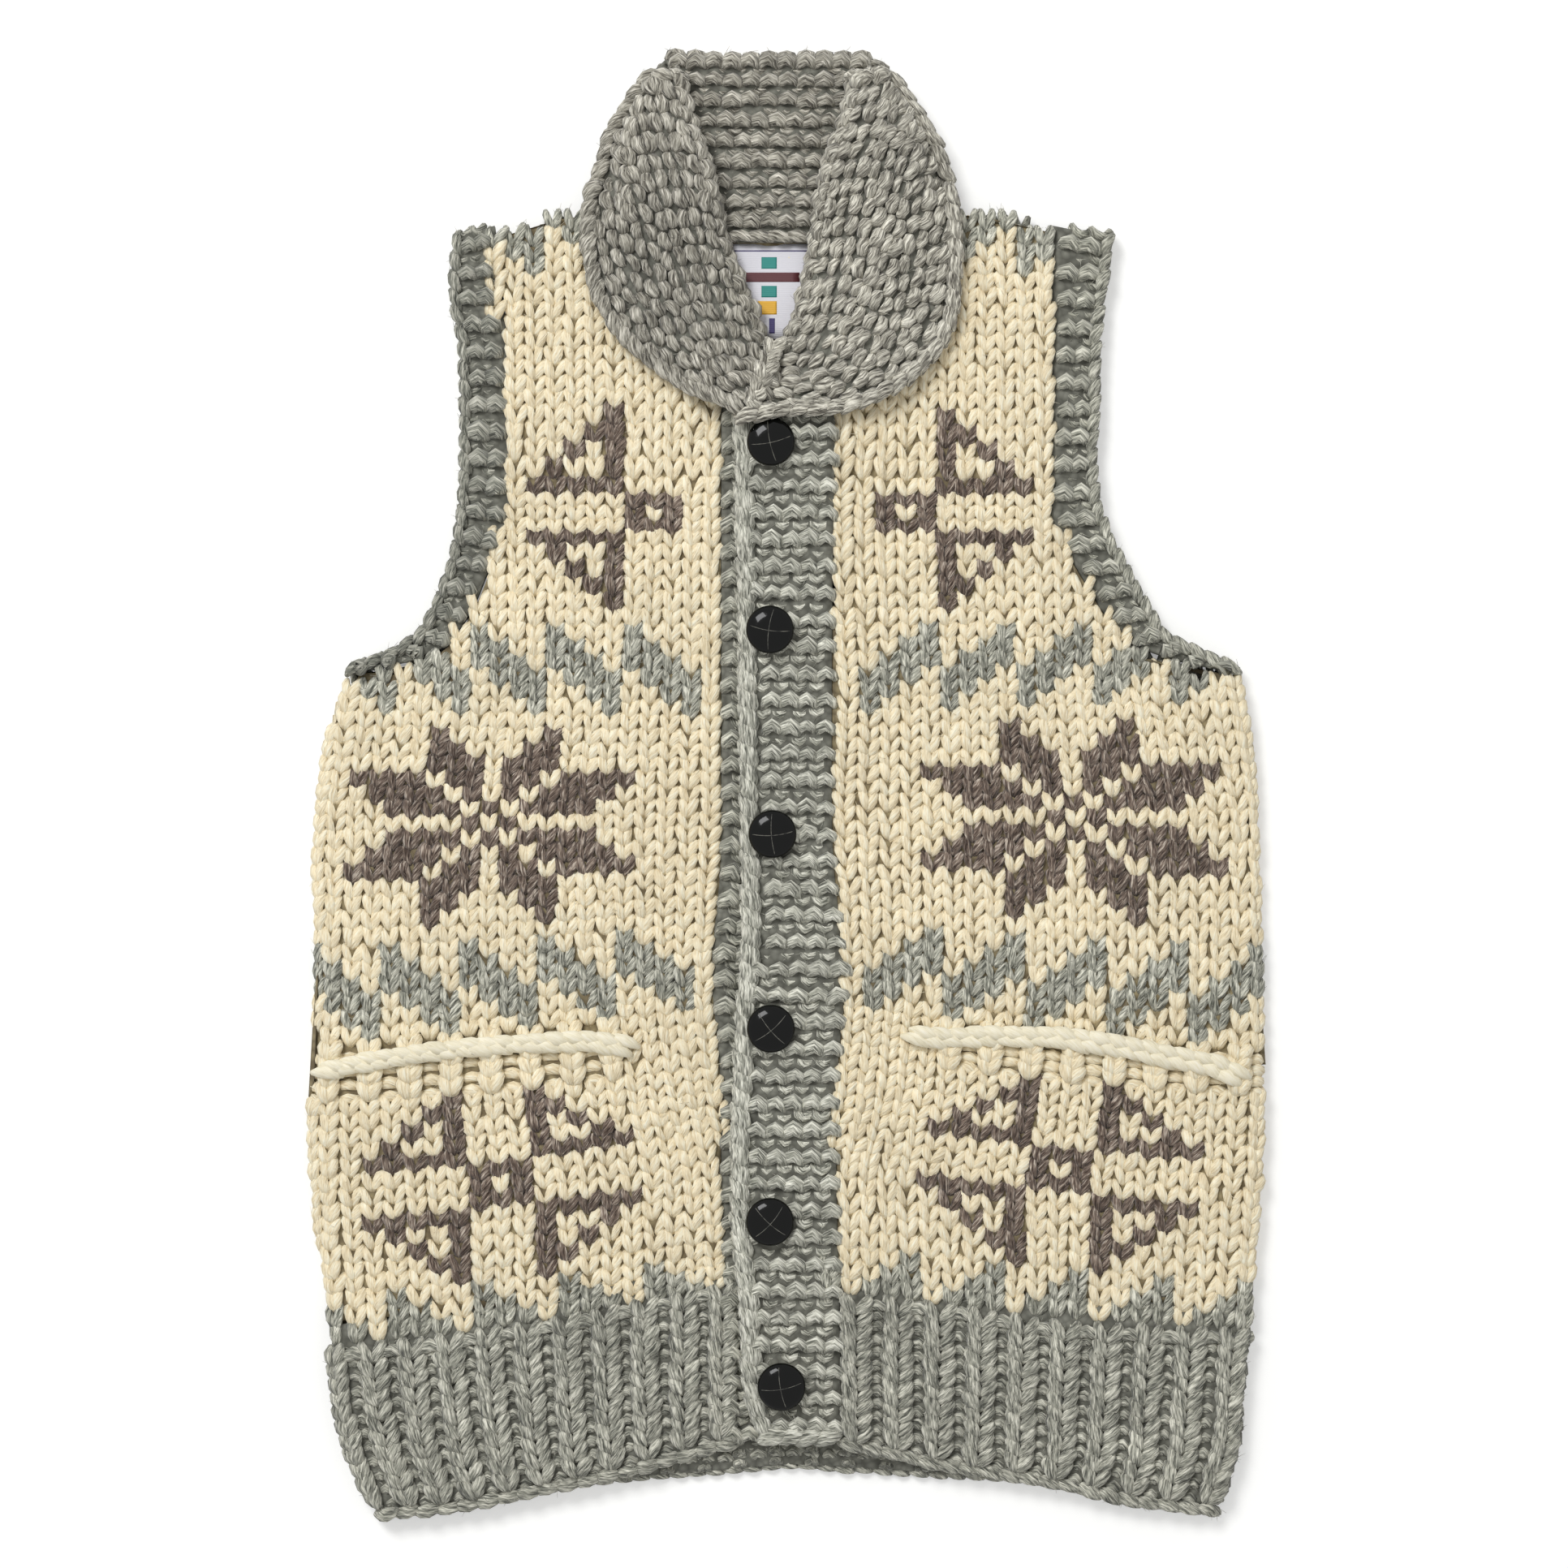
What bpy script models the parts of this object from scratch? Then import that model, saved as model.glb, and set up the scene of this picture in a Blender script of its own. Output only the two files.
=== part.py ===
"""A chunky hand-knit vest with a shawl collar, buttoned up and laid flat on its back.

The vest is knitted in thick wool, about 7 mm through.  Its pieces are the back, two fronts, ribbed hems,
two button bands, armhole bands, a folded shawl collar, two pocket edges, a woven neck label and six
buttons.  It lies on its back: +Z is up through the layers, +Y runs from the hem to the neck and +X goes
towards the wearer's left.  Right and left in the names are the wearer's.  Tables are in millimetres.
"""

import math
from collections import namedtuple

import bmesh
import bpy
import numpy as np

MM = 0.001

# ---------------------------------------------------------------- driving sizes, in millimetres
GAP = 0.3                 # clearance that touching pieces keep
CLOTH = 7.0               # thickness of the stocking-stitch cloth
RIB = 7.8                 # thickness of the front hem ribs
BAND = 8.0                # thickness of the garter-stitch button bands
COLLAR = 8.0              # thickness of the collar's outer leaf
STAND = 6.0               # thickness of the collar's stand, pressed between other layers
FOLD = 0.6                # slack inside the collar's fold
LAY = 0.6                 # clearance under cloth that lies loosely on other cloth
SEAM_CLEAR = 2.0          # how far past its seam the collar's leaf starts to come down
EDGE = 0.6                # height that is left at a side where front and back meet
LABEL = 1.0               # thickness of the woven label

BACK_TOP = CLOTH                          # the back lies on the floor
FRONT_Z = BACK_TOP + GAP                  # underside of the fronts
BAND_UNDER_Z = FRONT_Z                    # underside of the lower button band
BAND_TOP_Z = BAND_UNDER_Z + BAND + GAP    # underside of the upper button band
BUTTON_Z = BAND_TOP_Z + BAND + GAP        # underside of the buttons

CENTRE_X = -9.5           # the collar's middle, a little to the wearer's right of the body's
RIGHT_FRONT_EDGE = -34.8  # where the right front ends and its button band starts
UNDER_BAND_END = 16.0     # free edge of the lower button band, under the upper one
BAND_NECK_Y = 203.5       # top ends of the button bands, under the collar
RAMP_END = 70.0           # the left front has come down to the back here
RAMP_SINK = 1.0           # how much lower than the upper band the left front starts
LEAF_RISE_RIGHT = (-60.0, -32.0)   # the collar's leaf climbs from the right front onto the bands here
LEAF_RISE_LEFT = (78.0, 33.0)      # and from the left front onto them here

SHOULDER_LINE_Y = 310.0   # above this the collar lies on its own back half, below it on the fronts

HEM_ROUND = 5.0           # radius of the rounded cast-on edge
ARMHOLE_ROUND = 5.0       # radius of the armhole bands' free edge
BAND_ROUND = 4.0          # radius of the button bands' free edge

BUTTON_SIDES = 24
BUTTON_PROFILE = [        # radius and height, from the foot up to the crown
    (8.5, 0.0),
    (11.6, 0.9),
    (12.5, 2.6),
    (12.1, 4.2),
    (10.4, 5.6),
    (7.4, 6.5),
    (3.6, 7.0),
]

LABEL_SIZE = (46.0, 50.0)
LABEL_CENTRE_Y = 258.5

# ---------------------------------------------------------------- tables
# The folded sides of the body and its ribs, from the hem's corners up to the underarms.
Side = namedtuple("Side", "y right left")
SIDES = [
    Side(-384.0, -212.0, 222.0),
    Side(-374.0, -221.0, 230.5),
    Side(-350.0, -230.5, 238.0),
    Side(-315.0, -238.5, 241.0),
    Side(-262.0, -243.5, 245.5),
    Side(-228.0, -248.5, 248.5),
    Side(-190.0, -251.0, 250.5),
    Side(-160.0, -251.5, 251.5),
    Side(-108.0, -247.5, 249.5),
    Side(-40.0, -249.0, 247.5),
    Side(0.0, -246.5, 247.0),
    Side(30.0, -241.5, 244.5),
    Side(58.5, -231.0, 237.5),
]

# Sections of the armhole bands, from the underarm up to the shoulder: the free edge and the sewn edge.
Armhole = namedtuple("Armhole", "free_y free_right free_left sewn_y sewn_right sewn_left")
ARMHOLES = [
    Armhole(63.5, -231.0, 237.5, 58.5, -230.5, 237.0),
    Armhole(71.0, -207.0, 216.0, 65.5, -198.0, 206.0),
    Armhole(80.0, -194.0, 199.0, 74.0, -179.0, 182.0),
    Armhole(97.0, -185.0, 188.5, 93.0, -167.0, 167.0),
    Armhole(114.0, -178.5, 179.5, 112.0, -159.5, 156.0),
    Armhole(131.0, -174.5, 170.5, 128.0, -151.5, 146.0),
    Armhole(146.0, -173.0, 165.0, 142.0, -148.0, 140.5),
    Armhole(165.0, -171.5, 162.5, 165.0, -147.5, 140.5),
    Armhole(200.0, -172.0, 164.0, 200.0, -148.0, 142.0),
    Armhole(232.0, -172.5, 164.5, 232.0, -150.5, 142.0),
    Armhole(250.0, -176.5, 166.0, 250.0, -152.0, 142.0),
    Armhole(268.0, -177.5, 169.0, 269.0, -154.0, 142.0),
    Armhole(286.5, -175.0, 171.0, 292.0, -156.0, 143.0),
]

# Lines across a front, from its button band (0) to its side (1): top of the rib, hem and shoulder.
Across = namedtuple("Across", "part rib_right rib_left hem_right hem_left shoulder_right shoulder_left")
ACROSS = [
    Across(0.00, -269.0, -273.0, -347.0, -345.0, 306.0, 306.0),
    Across(0.25, -280.0, -279.0, -361.0, -358.0, 304.5, 304.5),
    Across(0.50, -290.5, -288.5, -371.0, -366.0, 301.0, 302.0),
    Across(0.75, -298.0, -292.5, -380.0, -377.0, 296.0, 298.0),
    Across(1.00, -303.0, -294.0, -384.0, -383.0, 290.0, 293.0),
]

# The back's own lines, from the right side (0) to the left side (1).
BackLine = namedtuple("BackLine", "part rib hem")
BACK_LINES = [
    BackLine(0.00, -303.0, -379.0),
    BackLine(0.25, -295.0, -369.0),
    BackLine(0.50, -290.0, -359.5),
    BackLine(0.75, -292.0, -367.0),
    BackLine(1.00, -294.0, -377.0),
]

# The two long edges of the upper button band.
BandRow = namedtuple("BandRow", "y free sewn")
TOP_BAND = [
    BandRow(-344.0, -6.0, 28.0),
    BandRow(-338.0, -14.5, 28.0),
    BandRow(-329.0, -20.0, 28.0),
    BandRow(-313.0, -23.5, 27.8),
    BandRow(-270.0, -25.0, 27.3),
    BandRow(-228.0, -29.5, 26.0),
    BandRow(-185.0, -29.8, 25.2),
    BandRow(-142.0, -27.8, 25.2),
    BandRow(-78.0, -23.8, 24.0),
    BandRow(-14.0, -25.0, 23.2),
    BandRow(50.0, -25.6, 23.2),
    BandRow(114.0, -26.5, 23.6),
    BandRow(157.0, -27.8, 24.4),
    BandRow(203.5, -27.8, 25.0),
]

# Sections of the folded collar, from the centre front up to its top corner.  Each runs from the fold
# (roll) out to the free edge, as distances from the collar's middle.  The seam to the front lies under
# the leaf, the given part of the way out.  The stand's underside is at the given height.
Roll = namedtuple("Roll", "roll roll_y edge edge_y seam stand_z leaf")
COLLAR_RIGHT = [
    Roll(-2.1, 228.9, 15.3, 193.0, 0.62, 8.6, COLLAR),
    Roll(0.2, 232.2, 32.9, 201.2, 0.59, 8.6, COLLAR),
    Roll(1.8, 236.0, 46.5, 207.7, 0.59, 8.6, COLLAR),
    Roll(4.3, 243.0, 63.0, 220.0, 0.59, 8.6, COLLAR),
    Roll(8.0, 252.0, 77.7, 232.5, 0.59, 8.6, COLLAR),
    Roll(12.4, 262.6, 88.4, 248.5, 0.58, 8.6, COLLAR),
    Roll(17.0, 275.0, 94.5, 265.6, 0.59, 8.6, COLLAR),
    Roll(20.9, 289.0, 97.0, 285.0, 0.60, 9.6, COLLAR),
    Roll(25.2, 306.5, 95.6, 304.5, 0.60, 15.6, COLLAR),
    Roll(30.3, 325.0, 90.0, 323.2, 0.72, 15.6, COLLAR),
    Roll(36.3, 342.5, 83.3, 342.5, 0.72, 15.6, COLLAR),
    Roll(41.4, 358.5, 73.6, 359.0, 0.66, 15.6, 7.0),
    Roll(44.6, 370.8, 63.8, 371.6, 0.66, 15.6, 5.0),
]
COLLAR_LEFT = [
    Roll(3.4, 228.2, -16.5, 188.6, 0.60, 8.6, COLLAR),
    Roll(4.4, 228.9, 9.8, 192.2, 0.60, 8.6, COLLAR),
    Roll(5.6, 230.0, 35.4, 193.8, 0.60, 8.6, COLLAR),
    Roll(7.2, 233.0, 59.0, 201.5, 0.59, 8.6, COLLAR),
    Roll(9.8, 239.5, 76.0, 212.2, 0.58, 8.6, COLLAR),
    Roll(13.2, 249.0, 91.0, 228.5, 0.58, 8.6, COLLAR),
    Roll(16.2, 261.3, 97.8, 244.5, 0.57, 8.6, COLLAR),
    Roll(18.6, 274.0, 99.7, 263.5, 0.57, 8.6, COLLAR),
    Roll(20.9, 289.0, 100.0, 285.0, 0.57, 9.6, COLLAR),
    Roll(23.9, 306.5, 98.2, 304.5, 0.58, 15.6, COLLAR),
    Roll(28.0, 325.0, 93.5, 323.2, 0.72, 15.6, COLLAR),
    Roll(34.6, 342.5, 85.2, 342.5, 0.72, 15.6, COLLAR),
    Roll(38.9, 358.5, 74.4, 359.0, 0.66, 15.6, 7.0),
    Roll(41.6, 370.8, 65.2, 371.6, 0.66, 15.6, 5.0),
]

# The back of the collar: a leaf folded down behind a stand.  Half widths at heights up the neck.
BackCollar = namedtuple("BackCollar", "y leaf stand")
BACK_COLLAR = [
    BackCollar(306.5, 95.0, 62.0),
    BackCollar(323.0, 90.0, 60.0),
    BackCollar(342.5, 83.3, 57.0),
    BackCollar(358.0, 74.0, 56.0),
    BackCollar(371.0, 64.5, 55.0),
    BackCollar(380.0, 57.0, 54.0),
]
BACK_COLLAR_TOP = 384.0
BACK_COLLAR_COLUMNS = 9   # places across its flat middle
BACK_LEAF = 7.5           # thickness of the leaf behind the stand
BACK_STAND = 7.5          # thickness of the stand
BACK_NECK_Y = 286.5       # the back's neckline at its middle
BACK_NECK_RISE = 17.0     # how much higher it is at the shoulders
BACK_NECK_HALF = 67.0     # from the middle to the shoulders

# Middle lines of the rolled pocket edges.
Cord = namedtuple("Cord", "x y")
POCKET_RIGHT = [
    Cord(-240.0, -150.0),
    Cord(-224.6, -146.5),
    Cord(-197.3, -141.8),
    Cord(-164.8, -137.5),
    Cord(-134.9, -135.4),
    Cord(-102.0, -134.5),
    Cord(-80.0, -136.6),
]
POCKET_LEFT = [
    Cord(67.0, -131.0),
    Cord(83.7, -132.6),
    Cord(111.9, -131.5),
    Cord(145.2, -132.4),
    Cord(176.4, -137.0),
    Cord(206.2, -143.0),
    Cord(227.2, -147.3),
    Cord(238.5, -153.0),
]
POCKET_CORD_WIDTH = 8.0
POCKET_CORD_HEIGHT = 6.0

Button = namedtuple("Button", "x y")
BUTTONS = [
    Button(-8.5, 178.3),
    Button(-9.0, 80.7),
    Button(-7.7, -25.6),
    Button(-8.5, -126.8),
    Button(-9.0, -227.2),
    Button(-3.0, -313.0),
]

# Places across a piece, as parts of its width, where its points lie.
ROUND = (0.0, 0.13, 0.5, 1.0)
FLAT_PARTS = (0.0, 0.06, 0.12, 0.18, 0.25, 0.37, 0.5, 0.62, 0.75, 0.88)
BACK_PARTS = (0.0, 0.12, 0.25, 0.31, 0.37, 0.43, 0.49, 0.55, 0.61, 0.67, 0.73, 0.86, 1.0)
NECK_STEPS = 3            # rows between two of the armhole's sections, beside the neckline
NECK_ROWS_Y = 173.5       # the finer rows start here
ROW_SPACE = 4.0           # least distance from a table's row to a panel's own first or last rows
RIB_ROWS = (0.0, 0.3, 0.6, 0.94, 0.97, 0.99, 1.0)
ARMHOLE_PARTS = (0.0, 0.35, 0.7, 0.86, 0.96, 1.0)
BAND_PARTS = (0.0, 0.33, 0.67, 1.0)
CORD_PARTS = (-1.0, -0.8, -0.4, 0.0, 0.4, 0.8, 1.0)
LEAF_PARTS = (0.0, 0.12, 0.25, 0.4, 0.55, 0.7, 0.85)
FOLD_TURNS = tuple(math.radians(turn) for turn in (90, 45, 0, -45, -90))
STAND_PARTS = (0.5, 1.0)

# ---------------------------------------------------------------- yarns and other materials
Finish = namedtuple("Finish", "colour roughness metallic")
FINISHES = {
    "cream_wool": Finish("D8CCAF", 0.9, 0.0),
    "grey_wool": Finish("97978C", 0.9, 0.0),
    "black_button": Finish("121312", 0.25, 0.0),
    "woven_label": Finish("DADAD6", 0.7, 0.0),
}


def linear(hex_colour):
    """An sRGB hex colour as linear red, green, blue and alpha."""
    parts = [int(hex_colour[i:i + 2], 16) / 255 for i in (0, 2, 4)]
    return [p / 12.92 if p <= 0.04045 else ((p + 0.055) / 1.055) ** 2.4 for p in parts] + [1.0]


def finish(name):
    """The material of this name, made the first time it is asked for."""
    found = bpy.data.materials.get(name)
    if found:
        return found
    material = bpy.data.materials.new(name)
    material.use_nodes = True
    shader = material.node_tree.nodes["Principled BSDF"]
    shader.inputs["Base Color"].default_value = linear(FINISHES[name].colour)
    shader.inputs["Roughness"].default_value = FINISHES[name].roughness
    shader.inputs["Metallic"].default_value = FINISHES[name].metallic
    material.diffuse_color = linear(FINISHES[name].colour)
    return material


# ---------------------------------------------------------------- reading tables and placing points
def read(table, column, at, key="y"):
    """One column of a table at one place, on a cubic that never overshoots its rows."""
    keys = np.array([getattr(row, key) for row in table], float)
    values = np.array([getattr(row, column) for row in table], float)
    steps = np.diff(values) / np.diff(keys)
    slopes = np.concatenate([steps[:1], np.zeros(len(keys) - 2), steps[-1:]])
    agree = steps[:-1] * steps[1:] > 0
    slopes[1:-1][agree] = (2 * steps[:-1] * steps[1:])[agree] / (steps[:-1] + steps[1:])[agree]
    i = int(np.clip(np.searchsorted(keys, at) - 1, 0, len(keys) - 2))
    span = keys[i + 1] - keys[i]
    t = min(max((at - keys[i]) / span, 0.0), 1.0)
    start, end = values[i], values[i + 1]
    bend = (slopes[i] * (1 - t) - slopes[i + 1] * t) * span * t * (1 - t)
    return start + (end - start) * t * t * (3 - 2 * t) + bend


def ease(t):
    """Rises smoothly from 0 to 1 as t does."""
    t = min(max(t, 0.0), 1.0)
    return t * t * (3 - 2 * t)


def mix(start, end, t):
    """The value part of the way from one to the other."""
    return start + (end - start) * t


def shifted(points, distance):
    """A line moved sideways by a distance, to its own left as it runs."""
    line = np.array(points, float)
    along = np.gradient(line, axis=0)
    normals = np.stack([-along[:, 1], along[:, 0]], axis=1)
    return line + distance * normals / np.linalg.norm(normals, axis=1, keepdims=True)


def rounded(distance, radius, height):
    """Height of a rounded edge at a distance in from it: EDGE at the edge, all of it past the radius."""
    inside = min(max(distance / radius, 0.0), 1.0)
    return EDGE + (height - EDGE) * math.sqrt(1 - (1 - inside) ** 2)


# ---------------------------------------------------------------- making solids
def add_object(name, mesh, material):
    """A scene object from a bmesh, with its faces turned outwards and its round sides smooth."""
    bmesh.ops.recalc_face_normals(mesh, faces=mesh.faces)
    data = bpy.data.meshes.new(name)
    mesh.to_mesh(data)
    mesh.free()
    data.materials.append(finish(material))
    data.shade_smooth()
    data.set_sharp_from_angle(angle=math.radians(40))
    made = bpy.data.objects.new(name, data)
    bpy.context.scene.collection.objects.link(made)
    return made


def add_sheet(name, outer, inner, material):
    """A closed solid between two grids of points, which are joined all round their borders."""
    mesh = bmesh.new()
    grids = []
    for grid in (outer, inner):
        grids.append([[mesh.verts.new(np.array(point, float) * MM) for point in row] for row in grid])
    rows, columns = len(outer), len(outer[0])
    for grid in grids:
        for i in range(rows - 1):
            for j in range(columns - 1):
                mesh.faces.new((grid[i][j], grid[i][j + 1], grid[i + 1][j + 1], grid[i + 1][j]))
    border = [(0, j) for j in range(columns - 1)] + [(i, columns - 1) for i in range(rows - 1)]
    border += [(rows - 1, j) for j in range(columns - 1, 0, -1)] + [(i, 0) for i in range(rows - 1, 0, -1)]
    for (i, j), (k, m) in zip(border, border[1:] + border[:1]):
        mesh.faces.new((grids[0][i][j], grids[0][k][m], grids[1][k][m], grids[1][i][j]))
    return add_object(name, mesh, material)


def add_layer(name, grid, material, upwards=True):
    """A flat-lying solid from a grid of (x, y, z, thickness): z is the face it shares with its neighbour."""
    way = 1 if upwards else -1
    faces = [[(x, y, z) for x, y, z, _ in row] for row in grid]
    backs = [[(x, y, z + way * thick) for x, y, z, thick in row] for row in grid]
    return add_sheet(name, backs, faces, material)


# ---------------------------------------------------------------- heights of what lies on the back
def front_z(side, x):
    """Underside of a front.  The left one comes down from the upper button band to lie on the back."""
    if side == "right":
        return FRONT_Z
    start = TOP_BAND[-1].sewn
    return mix(FRONT_Z, BAND_TOP_Z - RAMP_SINK, ease((RAMP_END - x) / (RAMP_END - start)))


def collar_rest_z(x):
    """Height on which the collar's leaf rests: on the fronts, or on the button bands at the middle."""
    start, end = LEAF_RISE_RIGHT if x < CENTRE_X else LEAF_RISE_LEFT
    return mix(FRONT_Z + CLOTH + LAY, BUTTON_Z, ease((x - start) / (end - start)))


# ---------------------------------------------------------------- the collar's sections in plan
def collar_rows(side):
    """The collar's sections on one side."""
    return COLLAR_RIGHT if side == "right" else COLLAR_LEFT


def collar_frame(side, row):
    """A collar section's fold point, its direction outwards and its width, in plan."""
    sign = -1 if side == "right" else 1
    fold = np.array([CENTRE_X + sign * row.roll, row.roll_y])
    edge = np.array([CENTRE_X + sign * row.edge, row.edge_y])
    width = np.linalg.norm(edge - fold)
    return fold, (edge - fold) / width, width


def front_inner_x(side, y):
    """Inner edge of a front: along its button band, then just outside the collar's seam."""
    seam = []
    for row in collar_rows(side):
        fold, out, width = collar_frame(side, row)
        if row.edge_y < SHOULDER_LINE_Y:
            seam.append(fold + out * (row.seam * width + LAY))
    seam = np.array(seam)
    neck = float(np.interp(y, seam[:, 1], seam[:, 0]))
    if side == "right":
        return neck if y > seam[0, 1] and neck < RIGHT_FRONT_EDGE else RIGHT_FRONT_EDGE
    band = read(TOP_BAND, "sewn", y) + GAP
    return neck if y > seam[0, 1] and neck > band else band


# ---------------------------------------------------------------- fronts, back and ribs
def side_places(side):
    """Points up the outer edge of a panel, and whether the cloth folds over there."""
    low = read(ACROSS, f"rib_{side}", 1.0, "part")
    high = read(ACROSS, f"shoulder_{side}", 1.0, "part")
    heights = [low + GAP / 2] + [row.y for row in SIDES if low + ROW_SPACE < row.y < SIDES[-1].y]
    places = [(read(SIDES, side, y), y, True) for y in heights]
    way = 1 if side == "left" else -1
    sewn = [(getattr(row, f"sewn_{side}"), row.sewn_y) for row in ARMHOLES]
    cut = shifted(sewn, way * GAP / 2)
    places.append((*cut[0], True))
    for start, end in zip(cut, cut[1:]):
        steps = NECK_STEPS if end[1] > NECK_ROWS_Y else 1
        places += [(*mix(start, end, step / steps), False) for step in range(1, steps + 1)]
    places = [place for place in places if place[1] < high - CLOTH - ROW_SPACE]
    ends = [high - CLOTH * part for part in ROUND[::-1]]
    places += [(float(np.interp(y, cut[:, 1], cut[:, 0])), y, False) for y in ends]
    return low, high, places


def edge_parts(inner, outer, radius, rounds=ROUND):
    """Places from an inner edge to an outer one, closer together where the outer edge is rounded."""
    turn = radius * math.copysign(1, outer - inner)
    flat = [mix(inner, outer - turn, part) for part in FLAT_PARTS]
    return flat + [outer - turn * part for part in rounds[::-1]]


def add_front(side):
    """A front panel, from the top of its rib to the shoulder, with a folded side and a cut armhole."""
    low, high, places = side_places(side)
    grid = []
    for side_x, side_y, folded in places:
        up = (side_y - low) / (high - low)

        def height(part):
            rib = read(ACROSS, f"rib_{side}", part, "part")
            return mix(rib, read(ACROSS, f"shoulder_{side}", part, "part"), up)

        inner = front_inner_x(side, height(0.0))
        row = []
        for x in edge_parts(inner, side_x, CLOTH):
            thick = rounded(high - side_y, CLOTH, CLOTH)
            if folded:
                thick = min(thick, rounded(abs(side_x - x), CLOTH, CLOTH))
            row.append((x, height((x - inner) / (side_x - inner)), front_z(side, x), thick))
        grid.append(row)
    add_layer(f"front_{side}_panel", grid, "cream_wool")


def add_front_rib(side):
    """A front's ribbed hem, which is plumper than the panel and draws in a little at its corner."""
    grid = []
    for down in RIB_ROWS:
        def height(part):
            top = read(ACROSS, f"rib_{side}", part, "part") - GAP / 2
            return mix(top, read(ACROSS, f"hem_{side}", part, "part"), down)

        side_x = read(SIDES, side, height(1.0))
        inner = front_inner_x(side, height(0.0))
        row = []
        for x in edge_parts(inner, side_x, CLOTH):
            part = (x - inner) / (side_x - inner)
            hem = height(part) - read(ACROSS, f"hem_{side}", part, "part")
            thick = min(rounded(hem, HEM_ROUND, RIB), rounded(abs(side_x - x), CLOTH, RIB))
            row.append((x, height(part), front_z(side, x), thick))
        grid.append(row)
    add_layer(f"front_{side}_hem_rib", grid, "grey_wool")


def back_top_y(x):
    """The back's upper edge: its neckline in the middle and a shoulder on each side."""
    across = abs(x - CENTRE_X) / BACK_NECK_HALF
    if across < 1:
        return BACK_NECK_Y + BACK_NECK_RISE * across ** 2
    side = "right" if x < CENTRE_X else "left"
    end_x = getattr(ARMHOLES[-1], f"sewn_{side}")
    end_y = ACROSS[-1].shoulder_right if side == "right" else ACROSS[-1].shoulder_left
    neck_x = CENTRE_X + math.copysign(BACK_NECK_HALF, x - CENTRE_X)
    return mix(BACK_NECK_Y + BACK_NECK_RISE, end_y, (x - neck_x) / (end_x - neck_x))


def back_columns(right, left):
    """Places across the back, closer together at its folded sides."""
    flat = [mix(right + CLOTH, left - CLOTH, part) for part in BACK_PARTS]
    turned = [CLOTH * part for part in ROUND[:-1]]
    return [right + x for x in turned] + flat + [left - x for x in turned[::-1]]


def add_back():
    """The back panel, with its flat face down and its sides turned up to meet the fronts."""
    low_right, high_right, right = side_places("right")
    low_left, high_left, left = side_places("left")
    grid = []
    for (right_x, right_y, folded), (left_x, left_y, _) in zip(right, left, strict=True):
        up_right = (right_y - low_right) / (high_right - low_right)
        up_left = (left_y - low_left) / (high_left - low_left)
        row = []
        for x in back_columns(right_x, left_x):
            part = (x - right_x) / (left_x - right_x)
            top_x = mix(right[-1][0], left[-1][0], part)
            top_y = back_top_y(top_x)
            y = mix(read(BACK_LINES, "rib", part, "part"), top_y, mix(up_right, up_left, part))
            thick = CLOTH
            if abs(top_x - CENTRE_X) > BACK_NECK_HALF:
                thick = rounded(top_y - y, CLOTH, CLOTH)
            if folded:
                thick = min(thick, rounded(min(x - right_x, left_x - x), CLOTH, CLOTH))
            row.append((x, y, BACK_TOP, thick))
        grid.append(row)
    add_layer("back_panel", grid, "cream_wool", upwards=False)


def add_back_rib():
    """The back's ribbed hem, a little shorter in the middle, where it shows between the fronts."""
    grid = []
    for down in RIB_ROWS:
        ends = [mix(row.rib, row.hem, down) for row in (BACK_LINES[0], BACK_LINES[-1])]
        right, left = read(SIDES, "right", ends[0]), read(SIDES, "left", ends[1])
        row = []
        for x in back_columns(right, left):
            part = (x - right) / (left - right)
            hem = read(BACK_LINES, "hem", part, "part")
            y = mix(read(BACK_LINES, "rib", part, "part") - GAP / 2, hem, down)
            thick = min(rounded(y - hem, HEM_ROUND, CLOTH), rounded(min(x - right, left - x), CLOTH, CLOTH))
            row.append((x, y, BACK_TOP, thick))
        grid.append(row)
    add_layer("back_hem_rib", grid, "grey_wool", upwards=False)


# ---------------------------------------------------------------- bands
def add_armhole_band(side, layer):
    """Half of an armhole band: its front half lies on its back half, and both are rounded outside."""
    way = -1 if side == "left" else 1
    sewn = shifted([(getattr(row, f"sewn_{side}"), row.sewn_y) for row in ARMHOLES], way * GAP / 2)
    free = np.array([(getattr(row, f"free_{side}"), row.free_y) for row in ARMHOLES])
    upwards = layer == "front"
    base = FRONT_Z if upwards else BACK_TOP
    grid = []
    for inner, outer in zip(sewn, free):
        width = np.linalg.norm(outer - inner)
        row = []
        for part in ARMHOLE_PARTS:
            x, y = mix(inner, outer, part)
            row.append((x, y, base, rounded((1 - part) * width, ARMHOLE_ROUND, CLOTH)))
        grid.append(row)
    add_layer(f"armhole_band_{side}_{layer}", grid, "grey_wool", upwards)


def add_button_bands():
    """The lower band on the right front and the upper band, which laps over it, on the left front."""
    upper, lower = [], []
    for band in TOP_BAND:
        parts = [mix(band.sewn, band.free + BAND_ROUND, part) for part in BAND_PARTS]
        parts += [band.free + BAND_ROUND * part for part in ROUND[-2::-1]]
        hem_round = rounded(band.y - TOP_BAND[0].y, BAND_ROUND, BAND)
        row = []
        for x in parts:
            row.append((x, band.y, BAND_TOP_Z, min(rounded(x - band.free, BAND_ROUND, BAND), hem_round)))
        upper.append(row)
        start = RIGHT_FRONT_EDGE + GAP
        lower.append([(mix(start, UNDER_BAND_END, part), band.y, BAND_UNDER_Z, BAND) for part in BAND_PARTS])
    add_layer("button_band_upper", upper, "grey_wool")
    add_layer("button_band_lower", lower, "grey_wool")


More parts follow.
